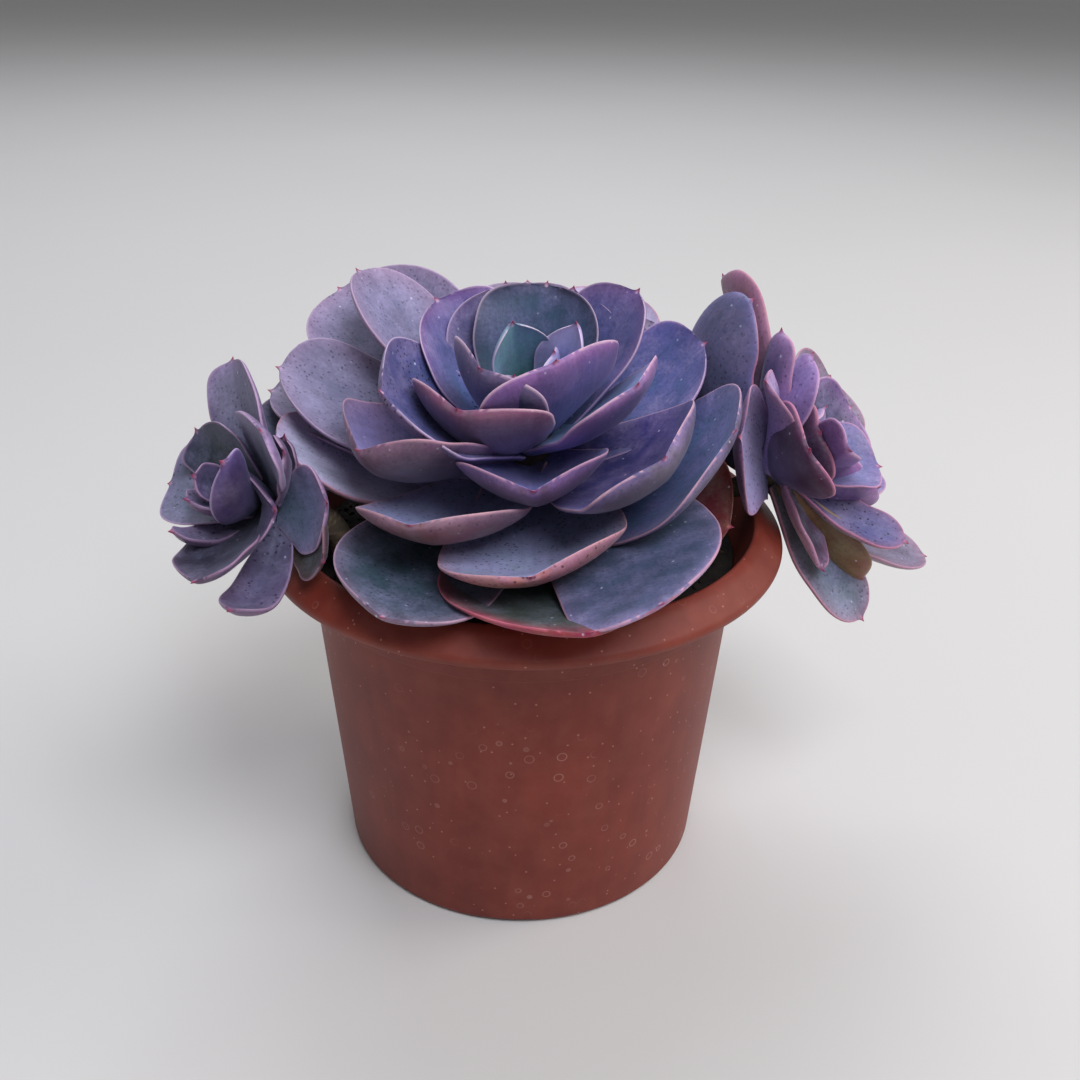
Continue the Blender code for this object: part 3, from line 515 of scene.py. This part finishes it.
def leaf_grid(leaf, root, s, phi, sway):
    """Points of a leaf's skin in its own axes (outward, sideways, up), in millimetres.

    s runs from base to tip, and phi round the section: 0 to pi on top, v = cos(phi) across it. The
    midrib is an arc of a circle from the slope rise to the slope tip. The margins rise as cup v^2
    and as a crease at the midrib, and wave by half a millimetre. The skin stands off the middle
    surface by |sin(phi)|^0.7, three times as far below as above, with a groove on top and a keel
    below, and the tip is drawn out into a point as e^(-half width)."""
    v = np.cos(phi)
    rise = math.radians(leaf.rise)
    bend = math.radians(leaf.tip - leaf.rise) or 1e-4
    slope = rise + bend * s
    out = leaf.length * (np.sin(slope) - math.sin(rise)) / bend
    up = -leaf.length * (np.cos(slope) - math.cos(rise)) / bend
    wide = leaf_outline(s)
    half = leaf.width / 2 * wide
    waved = half * (1 + 0.018 * v * np.sin(2 * math.pi * (1.7 * s + sway[0])))
    roll = math.radians(leaf.roll)
    side = np.stack([-np.sin(slope) * math.sin(roll), np.full_like(s, math.cos(roll)),
                     np.cos(slope) * math.sin(roll)], -1)
    normal = np.stack([-np.sin(slope) * math.cos(roll), np.full_like(s, -math.sin(roll)),
                       np.cos(slope) * math.cos(roll)], -1)
    raised = half * (leaf.cup * v * v + leaf.fold * (np.sqrt(v * v + 0.02) - 0.14))
    raised = raised + leaf.curl * s ** 4
    raised = raised + 0.5 * wide * v * v * s * np.sin(2 * math.pi * (2.3 * s + sway[1]) + 2 * v)
    thick = LEAF_THICKNESS * min(1.0, 0.45 + leaf.length / 110.0)
    top = np.sin(phi) > 0
    body = thick / 2 * (1 - 0.45 * s) * np.sqrt(wide) * np.where(top, 0.5, 1.5)
    skin = body * np.sign(np.sin(phi)) * np.abs(np.sin(phi)) ** 0.7
    along_rib = np.clip(s / 0.15, 0, 1) * np.clip((1 - s) / 0.2, 0, 1)
    skin = skin - along_rib * np.where(top, 0.3 * np.exp(-(v / 0.10) ** 2),
                                       0.45 * np.exp(-(v / 0.14) ** 2))
    spine = LEAF_POINT * np.exp(-half / 0.85) * np.clip((s - 0.9) / 0.1, 0, 1)
    points = np.stack([root + out + spine * np.cos(slope), leaf.sweep * s * s,
                       leaf.lift + up + spine * np.sin(slope)], -1)
    points = points + side * (waved * v)[..., None] + normal * (raised + skin)[..., None]
    return points, half, skin, spine


def leaf_stations():
    """Where the rings of a leaf stand: close together near the tip, where the outline closes, and
    there set by its width w, through y = (1 - w^(1/0.46))^(1/3), from the belly to the tip."""
    w = np.array([0.36, 0.31, 0.26, 0.21, 0.165, 0.125, 0.09, 0.062, 0.04, 0.022, 0.01])
    closing = LEAF_BELLY + (1 - LEAF_BELLY) * (1 - w ** (1 / LEAF_CLOSING)) ** (1 / 3)
    return np.concatenate([np.linspace(0, 0.59, 14), np.linspace(LEAF_BELLY, 0.9, 12),
                           [0.92, 0.94, 0.955, 0.968], closing])


def leaves_piece(name, leaves, looks, stem, root, seed, material):
    """One mesh of many leaves, with what the skin material reads at every point: tone (its colour
    before markings), rim (colour of the margin line), edge (distance from the margin, mm), way
    (mm along and across the leaf) and marks (speckle, bloom, under or over)."""
    rng = np.random.default_rng(seed)
    stations = leaf_stations()
    rows = len(stations)
    across, along, axis = rosette_axes(stem)
    s = np.concatenate([[-0.03], np.repeat(stations, LEAF_SIDES), [1.0]])
    phi = np.tile(np.linspace(0, 2 * math.pi, LEAF_SIDES, endpoint=False), rows)
    phi = np.concatenate([[math.pi / 2], phi, [math.pi / 2]])
    v = np.cos(phi)
    under = (np.sin(phi) < -1e-6).astype(float)
    ones = np.ones((len(s), 1))
    points, quads, tris = [], [], []
    tone, rim, edge, way, marks = [], [], [], [], []
    for number, leaf in enumerate(leaves):
        look = looks[leaf.look]
        local, half, skin, spine = leaf_grid(leaf, root if leaf.root is None else leaf.root, s, phi,
                                             rng.uniform(0, 1, 2))
        a = math.radians(leaf.turn)
        outward = across * math.cos(a) + along * math.sin(a)
        sideways = np.cross(axis, outward)
        points.append(np.array(stem.centre) + local[:, :1] * outward + local[:, 1:2] * sideways
                      + local[:, 2:] * axis)
        leaf_quads, leaf_tris = ring_faces(rows, LEAF_SIDES, number * len(s))
        quads.append(leaf_quads)
        tris.append(leaf_tris)
        # distance from the margin: to the outline laid flat, then off it by the skin's height
        t = np.linspace(0.0, 1.0, 150)
        flat = np.stack([s * leaf.length, half * np.abs(v)], -1)
        line = np.stack([t * leaf.length, leaf_outline(t) * leaf.width / 2], -1)
        gap = np.sqrt(((flat[:, None] - line[None]) ** 2).sum(-1)).min(1)
        margin = np.hypot(gap, skin)
        # colours: base to blade along the leaf, the base's colour darker, partly painted shade
        # where the leaves overlap near the core, then the margin's wash, then the red point
        blade, base, blush, below, line_colour = (np.array(paint(look[i])[:3]) for i in range(5))
        to_base = (np.clip(1 - s / 0.7, 0, 1) ** 0.9)[:, None]
        face = blade * (1 - to_base) + base * to_base
        back = below * (1 - 0.55 * to_base) + base * 0.55 * to_base
        wash = (np.exp(-(margin / look.wash) ** 1.4)[:, None]
                * (0.25 + 0.75 * np.clip(s, 0, 1)[:, None]))
        colour = np.where(under[:, None] > 0, back, face)
        colour = colour * (1 - 0.85 * wash) + blush * 0.85 * wash
        point = np.clip(spine / LEAF_POINT * 1.6, 0, 1)[:, None]
        colour = colour * (1 - point) + np.array(paint("8c2c4c")[:3]) * point
        line_colour = line_colour * (1 - point) + np.array(paint("9c3456")[:3]) * point
        tone.append(np.concatenate([colour, ones], 1))
        rim.append(np.concatenate([line_colour, ones], 1))
        edge.append(margin)
        way.append(np.stack([s * leaf.length, half * v, 37.0 * number + 11.0 * under], -1))
        marks.append(np.stack([look.speckle + 0 * s, look.bloom * (1 - 0.45 * under), under], -1))
    piece = new_piece(name, np.concatenate(points), np.concatenate(quads), np.concatenate(tris),
                      material)
    for title, form, field, values in (("tone", "FLOAT_COLOR", "color", tone),
                                       ("rim", "FLOAT_COLOR", "color", rim),
                                       ("edge", "FLOAT", "value", edge),
                                       ("way", "FLOAT_VECTOR", "vector", way),
                                       ("marks", "FLOAT_VECTOR", "vector", marks)):
        attribute = piece.data.attributes.new(title, form, "POINT")
        attribute.data.foreach_set(field, np.concatenate(values).ravel())
    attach(piece, "root")
    return piece


def waxy_leaf(name, roughness):
    """Echeveria skin under its own bloom: matt and powdery where the pale wax is whole, a little
    glossier and darker where it has rubbed off, with dark flecks and dried white water spots."""
    m, shader, place = new_material(name)
    tone = add_node(m, "Attribute", attribute_name="tone").outputs["Color"]
    rim = add_node(m, "Attribute", attribute_name="rim").outputs["Color"]
    edge = add_node(m, "Attribute", attribute_name="edge").outputs["Fac"]
    way = add_node(m, "Attribute", attribute_name="way").outputs["Vector"]
    marks = add_node(m, "Attribute", attribute_name="marks").outputs["Vector"]
    speckle, bloom, _ = add_node(m, "SeparateXYZ", {0: marks}).outputs
    # veins and growth streaks: 16 mm long and 2 mm wide, along the leaf
    lengthways = add_node(m, "VectorMath", {0: way, 1: (1 / 16.0, 1 / 2.0, 1.0)},
                          operation="MULTIPLY")
    streaks = add_node(m, "TexNoise", {"Vector": lengthways, "Scale": 1.0, "Detail": 3.0})
    # clouds 10 mm across, in which the hue drifts and the wax lies, and a grain of 1.4 mm
    clouds = add_node(m, "TexNoise", {"Vector": place, "Scale": 1 / 0.010, "Detail": 4.0,
                                      "Roughness": 0.6})
    powder = add_node(m, "TexNoise", {"Vector": place, "Scale": 1 / 0.0014, "Detail": 3.0,
                                      "Roughness": 0.7})
    hue = add_node(m, "MapRange", {"Value": clouds, "From Min": 0.3, "From Max": 0.7,
                                   "To Min": 0.468, "To Max": 0.53})
    # darker and lighter parts of a leaf, about 18 mm across, with the streaks and grain on them
    broad = add_node(m, "TexNoise", {"Vector": way, "Scale": 1 / 18.0})
    shade = add_node(m, "MapRange", {"Value": broad, "From Min": 0.3, "From Max": 0.7,
                                     "To Min": 0.28, "To Max": 0.66})
    streaked = add_node(m, "Math", {0: streaks, 1: 0.5, 2: shade}, operation="MULTIPLY_ADD")
    grained = add_node(m, "Math", {0: powder, 1: 0.56, 2: streaked}, operation="MULTIPLY_ADD")
    skin = add_node(m, "HueSaturation", {"Hue": hue, "Saturation": 1.08, "Value": grained,
                                         "Color": tone})
    # bloom: pale blue-grey wax in the clouds, broken up by the grain
    wax = add_node(m, "MapRange", {"Value": clouds, "From Min": 0.40, "From Max": 0.68,
                                   "To Min": 0.04, "To Max": 0.42})
    grainy = add_node(m, "MapRange", {"Value": powder, "From Min": 0.35, "From Max": 0.65,
                                      "To Min": 0.55, "To Max": 1.25})
    wax_grain = add_node(m, "Math", {0: wax, 1: grainy}, operation="MULTIPLY")
    wax_here = add_node(m, "Math", {0: wax_grain, 1: bloom}, operation="MULTIPLY", use_clamp=True)
    bloomed = add_node(m, "Mix", {0: wax_here, 6: skin, 7: paint("b4b8dc")}, data_type="RGBA")
    # dark flecks about half a millimetre across, thick in patches
    fleck = add_node(m, "TexVoronoi", {"Vector": place, "Scale": 1 / 0.0020})
    fleck_dot = add_node(m, "MapRange", {"Value": fleck, "From Min": 0.16, "From Max": 0.29,
                                         "To Min": 1.0, "To Max": 0.0})
    patch = add_node(m, "TexNoise", {"Vector": place, "Scale": 1 / 0.013})
    patch_here = add_node(m, "MapRange", {"Value": patch, "From Min": 0.30, "From Max": 0.50})
    fleck_patch = add_node(m, "Math", {0: fleck_dot, 1: patch_here}, operation="MULTIPLY")
    fleck_here = add_node(m, "Math", {0: fleck_patch, 1: speckle}, operation="MULTIPLY")
    flecked = add_node(m, "Mix", {0: fleck_here, 6: bloomed, 7: paint("1e1a30")},
                       data_type="RGBA")
    # dried water spots and grit: white, up to a millimetre across
    spot = add_node(m, "TexVoronoi", {"Vector": place, "Scale": 1 / 0.0052})
    spot_dot = add_node(m, "MapRange", {"Value": spot, "From Min": 0.05, "From Max": 0.12,
                                        "To Min": 0.75, "To Max": 0.0})
    spot_patch = add_node(m, "MapRange", {"Value": streaks, "From Min": 0.45, "From Max": 0.6})
    spot_here = add_node(m, "Math", {0: spot_dot, 1: spot_patch}, operation="MULTIPLY")
    spotted = add_node(m, "Mix", {0: spot_here, 6: flecked, 7: paint("dcdcee")},
                       data_type="RGBA")
    # the margin's line, about a millimetre wide: the leaf's pink margin, partly a painted highlight
    # on the edge
    line = add_node(m, "MapRange", {"Value": edge, "From Min": 0.2, "From Max": 0.95,
                                    "To Min": 0.75, "To Max": 0.0})
    lined = add_node(m, "Mix", {0: line, 6: spotted, 7: rim}, data_type="RGBA")
    # wax makes it duller, and streaks and grain stand a little proud
    rough = add_node(m, "MapRange", {"Value": wax_here, "From Max": 0.4,
                                     "To Min": roughness - 0.1, "To Max": roughness + 0.12})
    height = add_node(m, "Math", {0: streaks, 1: 1.2, 2: powder}, operation="MULTIPLY_ADD")
    bump = add_node(m, "Bump", {"Height": height, "Strength": 0.3, "Distance": 0.0003})
    set_inputs(m, shader, {"Base Color": lined, "Roughness": rough, "Normal": bump, "IOR": 1.42,
                           "Sheen Weight": 0.18, "Sheen Roughness": 0.4,
                           "Sheen Tint": paint("c8ccec")})
    return m


def core_piece(name, stem, foot_radius, top_radius, top, node):
    """The short tapered stem that a rosette's leaves grow from: its radius changes evenly along the
    rosette's axis, from core_foot below its centre to top above it."""
    t = np.linspace(0, 1, 10)[:, None]
    path = (np.array(stem.centre)
            + rosette_axes(stem)[2] * (-stem.core_foot + (stem.core_foot + top) * t))
    radii = (foot_radius + (top_radius - foot_radius) * t) * np.ones((1, STEM_SIDES))
    piece = new_piece(name, tube_points(path, radii, STEM_SIDES), *ring_faces(10, STEM_SIDES),
                      stem_skin)
    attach(piece, "root")
    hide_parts(node)


main_stem, right_stem, left_stem = STEMS
main_skin = waxy_leaf("echeveria_leaf_waxy_lilac", 0.52)
for name, first, last, seed in (("lower_leaves", 0, 11, 21), ("outer_leaves", 11, 22, 22),
                                ("middle_leaves", 22, 29, 23), ("heart_leaves", 29, 40, 24)):
    piece = leaves_piece(name, MAIN_LEAVES[first:last], MAIN_LOOKS, main_stem, 7.0, seed, main_skin)
    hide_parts("main_rosette")
core_piece("main_core", main_stem, 12.0, 8.4, 33.0, "main_rosette")


# ---- Right rosette -----------------------------------------------------------------------
# A young rosette of twenty-four narrower leaves, leaning far out over the pot's right edge. It is
# more lavender than the large one, with rosy undersides and old olive-brown leaves at its foot.
RIGHT_LOOKS = {
    "green_grey": Look("626b7c", "4c523c", "88667b", "804a54", "cc8898", 0.5, 0.7),
    "maroon_under": Look("3d2f39", "2e2022", "9c7391", "a27e84", "cc94ac", 0.5, 0.6, 3.0),
    "speckled_blue": Look("65618d", "574b64", "8b5f7c", "a0948e", "d0809c", 0.9, 0.6, 3.0),
    "pale_lilac": Look("7a7080", "655865", "8f6e7e", "8c7c86", "cc94ac", 0.4, 0.7),
    "olive": Look("6e6450", "54503a", "876954", "785a3b", "92785c", 0.2, 0.2),
    "streaky_blue": Look("6e76a0", "525c84", "7e72a2", "65617f", "e48e9c", 0.4, 0.6, 4.0),
    "rosy": Look("8c84ac", "6c6c94", "b47d96", "b48796", "d48a9a", 0.3, 0.5),
    "mauve": Look("b8a8cc", "8682a8", "b587b2", "7a6c9a", "d89ab0", 0.6, 0.6),
    "violet": Look("4f4564", "35354f", "906a9b", "9a86b8", "dcaace", 0.5, 0.6),
    "magenta_under": Look("8e84b8", "5e6494", "986396", "7c6193", "e4b0d0", 0.2, 0.6, 5.0),
    "light_blue": Look("75729c", "5b5e87", "9077a3", "5e3a5e", "d898b4", 0.3, 0.8, 4.0),
    "plum_under": Look("84789c", "504c74", "6a3d58", "382637", "dc8aa4", 0.1, 0.5, 4.0),
    "pale_heart": Look("a096c0", "7880a4", "a888b0", "9a8ab8", "e4bcd0", 0.1, 0.8, 2.5),
}
RIGHT_LEAVES = (
    # lowest leaves, hanging over the pot's edge
    Leaf("green_grey", 340, 59, 26, -16, 0, 2, roll=42, sweep=2, cup=0.2, curl=1),
    Leaf("maroon_under", 308, 34, 20, -27, 10, 6, roll=4, sweep=8, curl=-5),
    Leaf("speckled_blue", 343, 47, 21, 8, 27, 7, roll=28, sweep=-6, cup=0.24, curl=4),
    Leaf("pale_lilac", 12, 76, 28, 0, 35, 1, roll=8, sweep=-2, cup=0.24, curl=1),
    Leaf("olive", 342, 48, 25, 3, 2, 0, roll=-40, sweep=5, curl=1),
    # leaves turned to the large rosette
    Leaf("streaky_blue", 160, 66, 38, -22, 98, 0, roll=48, sweep=-1, cup=0.12, root=6, curl=-7),
    Leaf("rosy", 142, 72, 41, 33, 17, 2, roll=17, cup=0.32, fold=0.05, root=6, curl=-1),
    Leaf("mauve", 220, 34, 44, 1, -15, 1, roll=-40, sweep=-5, cup=0.08, fold=0.15, root=4, curl=11),
    Leaf("mauve", 211, 45, 20, 53, 4, 2, roll=-11, cup=0.3),
    Leaf("mauve", 171, 46, 23, 35, 43, 5, roll=17, sweep=3, curl=3),
    Leaf("violet", 185, 41, 31, 35, 77, 6, cup=0.24, root=4, curl=-1),
    # back
    Leaf("pale_lilac", 120, 40, 32, 16, 34, 2),
    Leaf("violet", 60, 44, 32, 10, 30, 1),
    Leaf("light_blue", 36, 50, 32, 24, 40, 4),
    Leaf("mauve", 90, 46, 32, 4, 14, -1),
    # inner ring and heart
    Leaf("magenta_under", 313, 27, 36, 29, 68, 7, roll=-21, sweep=23, curl=2),
    Leaf("light_blue", 3, 32, 37, 60, 46, 8, roll=17, sweep=-2, root=4, curl=-1),
    Leaf("violet", 71, 35, 36, 61, 44, 10, roll=11, sweep=-1, root=4),
    Leaf("pale_lilac", 93, 44, 44, 53, 36, 8, sweep=-1, root=4),
    Leaf("plum_under", 240, 35, 38, 24, 36, 4, roll=-12, sweep=6, curl=-2),
    Leaf("plum_under", 239, 25, 30, 48, 46, 7, roll=-23, sweep=2, cup=0.32, fold=0.05, root=4),
    Leaf("magenta_under", 301, 28, 29, 58, 23, 11, roll=-8, sweep=-17, cup=0.34, fold=0.05, root=3,
         curl=1),
    Leaf("pale_heart", 20, 14, 14, 80, 86, 15, root=2),
    Leaf("pale_heart", 150, 17, 16, 76, 80, 14, root=3),
)
piece = leaves_piece("right_leaves", RIGHT_LEAVES, RIGHT_LOOKS, right_stem, 5.0, 31,
                     waxy_leaf("echeveria_leaf_waxy_lavender", 0.5))
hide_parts("right_rosette")
core_piece("right_core", right_stem, 5.4, 3.5, 18.0, "right_rosette")


# ---- Left rosette ------------------------------------------------------------------------
# The smallest rosette, seventeen leaves on a thin stem over the pot's left edge. It is a darker
# slate with green in it, the dark partly painted shade, and has a bright violet leaf near its
# heart.
LEFT_LOOKS = {
    "plum_slate": Look("615873", "545669", "795d7d", "6a5068", "b090b0", 0.8, 0.6),
    "olive_slate": Look("353c1f", "2c3419", "5f4849", "5c5448", "a47c8c", 0.3, 0.4),
    "teal_slate": Look("757d9e", "63788b", "927497", "6a5468", "c098b4", 0.3, 0.6),
    "lilac_stripe": Look("797489", "5e657a", "8b7195", "705878", "c8a4c4", 0.5, 0.7),
    "dusk": Look("2c2936", "23242e", "533e57", "604860", "b48cac", 0.3, 0.5),
    "dark_teal": Look("222d37", "172929", "48415b", "5c4c64", "b494b4", 0.3, 0.5),
    "blue_lilac": Look("656779", "4b5164", "7e708f", "78647c", "ccacc8", 0.6, 0.7),
    "violet_bright": Look("5a4c94", "3e3c74", "695387", "463456", "ccaed4", 0.1, 0.5),
    "violet_dark": Look("3e3d51", "2d2e3f", "624d70", "54406a", "c49cbc", 0.2, 0.5),
}
LEFT_LEAVES = (
    # lowest leaves
    Leaf("plum_slate", 271, 51, 18, -3, 48, -2, roll=-28, sweep=3, cup=0.24, curl=8),
    Leaf("olive_slate", 319, 30, 23, -9, 12, -3, roll=18, sweep=-3, cup=0.24, curl=2),
    Leaf("teal_slate", 334, 26, 29, -5, 27, 1, roll=31, sweep=5, cup=0.2),
    Leaf("lilac_stripe", 85, 46, 27, 43, 6, 2, roll=-10, sweep=10, cup=0.32, curl=-1),
    Leaf("dusk", 60, 18, 20, 14, 34, 1),
    Leaf("plum_slate", 146, 24, 24, 24, 40, 2),
    # outer ring
    Leaf("dusk", 254, 40, 33, 25, 53, 4, roll=4, sweep=9, cup=0.26),
    Leaf("dark_teal", 115, 26, 26, 44, 27, 8, roll=-19, sweep=5),
    Leaf("blue_lilac", 171, 34, 31, 42, 7, 4, roll=8, sweep=-4, curl=-2),
    Leaf("lilac_stripe", 39, 38, 36, 46, 70, 5, roll=-1, sweep=-16, cup=0.12, curl=-1),
    Leaf("dusk", 14, 24, 22, 30, 50, 4),
    Leaf("plum_slate", 226, 34, 12, 27, 65, 2, roll=6, sweep=2, cup=0.24, curl=6),
    # inner ring and heart
    Leaf("violet_dark", 329, 25, 24, 52, 38, 5, roll=36, sweep=-5, cup=0.36, fold=0.1, root=3,
         curl=-6),
    Leaf("violet_bright", 300, 34, 20, 38, 97, 11, roll=22, sweep=14, root=3),
    Leaf("plum_slate", 223, 24, 16, 50, 81, 8, roll=5, sweep=1, root=3, curl=2),
    Leaf("violet_dark", 181, 20, 13, 60, 95, 12, roll=-4, sweep=1, cup=0.26, root=2, curl=2),
    Leaf("violet_dark", 260, 13, 12, 76, 88, 12, root=2),
)
piece = leaves_piece("left_leaves", LEFT_LEAVES, LEFT_LOOKS, left_stem, 4.0, 41,
                     waxy_leaf("echeveria_leaf_waxy_slate", 0.5))
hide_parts("left_rosette")
core_piece("left_core", left_stem, 5.5, 3.2, 15.0, "left_rosette")


# ---- Floor, lights and camera ------------------------------------------------------------
# A wide plain pale floor, soft daylight from three panels (in front and high, behind and higher,
# and low at the right), and the photograph's camera: 0.4 m in front of the pot's axis, 0.33 m above
# the floor, looking down at 27.7 degrees.
FLOOR_SECTION = (              # radius and height, from the middle of the top to that of the bottom
    (0, 0), (400, 0), (2000, 0), (12000, 0), (12000, -20), (0, -20),
)
FLOOR_SIDES = 64
LIGHT_AIM = 0.1                # height over the middle of the floor that the lights face
CAMERA_PLACE = (0.0, -0.398, 0.333)
CAMERA_DOWN = 27.7
CAMERA_RIGHT = 0.88            # how far it looks to the right of straight ahead
CAMERA_ROLL = 0.96


def pale_floor():
    """Matt warm-white paper: even, with a faint mottle of 0.4 m, so that it isn't dead flat."""
    m, shader, place = new_material("matt_warm_white_paper")
    mottle = add_node(m, "TexNoise", {"Vector": place, "Scale": 1 / 0.4})
    body = add_node(m, "Mix", {0: mottle, 6: paint("cecbc6"), 7: paint("d3d0cb")},
                    data_type="RGBA")
    set_inputs(m, shader, {"Base Color": body, "Roughness": 0.9})
    return m


floor = new_piece("floor", turned_points(np.array(FLOOR_SECTION, float), FLOOR_SIDES),
                  *ring_faces(len(FLOOR_SECTION) - 2, FLOOR_SIDES), pale_floor())


def soft_light(name, place, size, power, colour):
    """A square area light that faces the plant."""
    light = bpy.data.lights.new(name, "AREA")
    light.size, light.energy, light.color = size, power, paint(colour)[:3]
    lamp = bpy.data.objects.new(name, light)
    x, y, z = place[0], place[1], place[2] - LIGHT_AIM
    lamp.location = place
    lamp.rotation_euler = (math.acos(z / math.sqrt(x * x + y * y + z ** 2)), 0.0,
                           math.atan2(y, x) + math.pi / 2)
    bpy.context.scene.collection.objects.link(lamp)


soft_light("front_window", (0.6, -1.0, 1.9), 1.1, 34.0, "f0f4ff")
soft_light("overhead", (-0.2, 1.5, 2.3), 1.6, 34.0, "f0f4ff")
soft_light("right_window", (1.5, 0.2, 1.0), 0.9, 9.0, "fff6ea")
world = bpy.data.worlds.new("pale_room")
world.use_nodes = True
room = world.node_tree.nodes["Background"]
room.inputs["Color"].default_value = paint("eceef4")
room.inputs["Strength"].default_value = 0.28
bpy.context.scene.world = world
bpy.context.scene.view_settings.view_transform = "Standard"

# The camera's axes: ahead by its two directions, then level and above it, turned by the roll
down, yaw, roll = (math.radians(angle) for angle in (CAMERA_DOWN, CAMERA_RIGHT, CAMERA_ROLL))
ahead = np.array([math.sin(yaw) * math.cos(down), math.cos(yaw) * math.cos(down),
                  -math.sin(down)])
level = np.cross(ahead, [0, 0, 1]) / np.linalg.norm(np.cross(ahead, [0, 0, 1]))
above = np.cross(level, ahead)
right = math.cos(roll) * level + math.sin(roll) * above
top = -math.sin(roll) * level + math.cos(roll) * above
lens = bpy.data.cameras.new("photo_camera")
lens.lens, lens.sensor_width, lens.clip_end = 40.0, 36.0, 40.0
camera = bpy.data.objects.new("photo_camera", lens)
bpy.context.scene.collection.objects.link(camera)
pose = np.eye(4)
pose[:3, 0], pose[:3, 1], pose[:3, 2], pose[:3, 3] = right, top, -ahead, CAMERA_PLACE
camera.matrix_world = pose.T.tolist()
bpy.context.scene.camera = camera

bpy.context.view_layer.update()
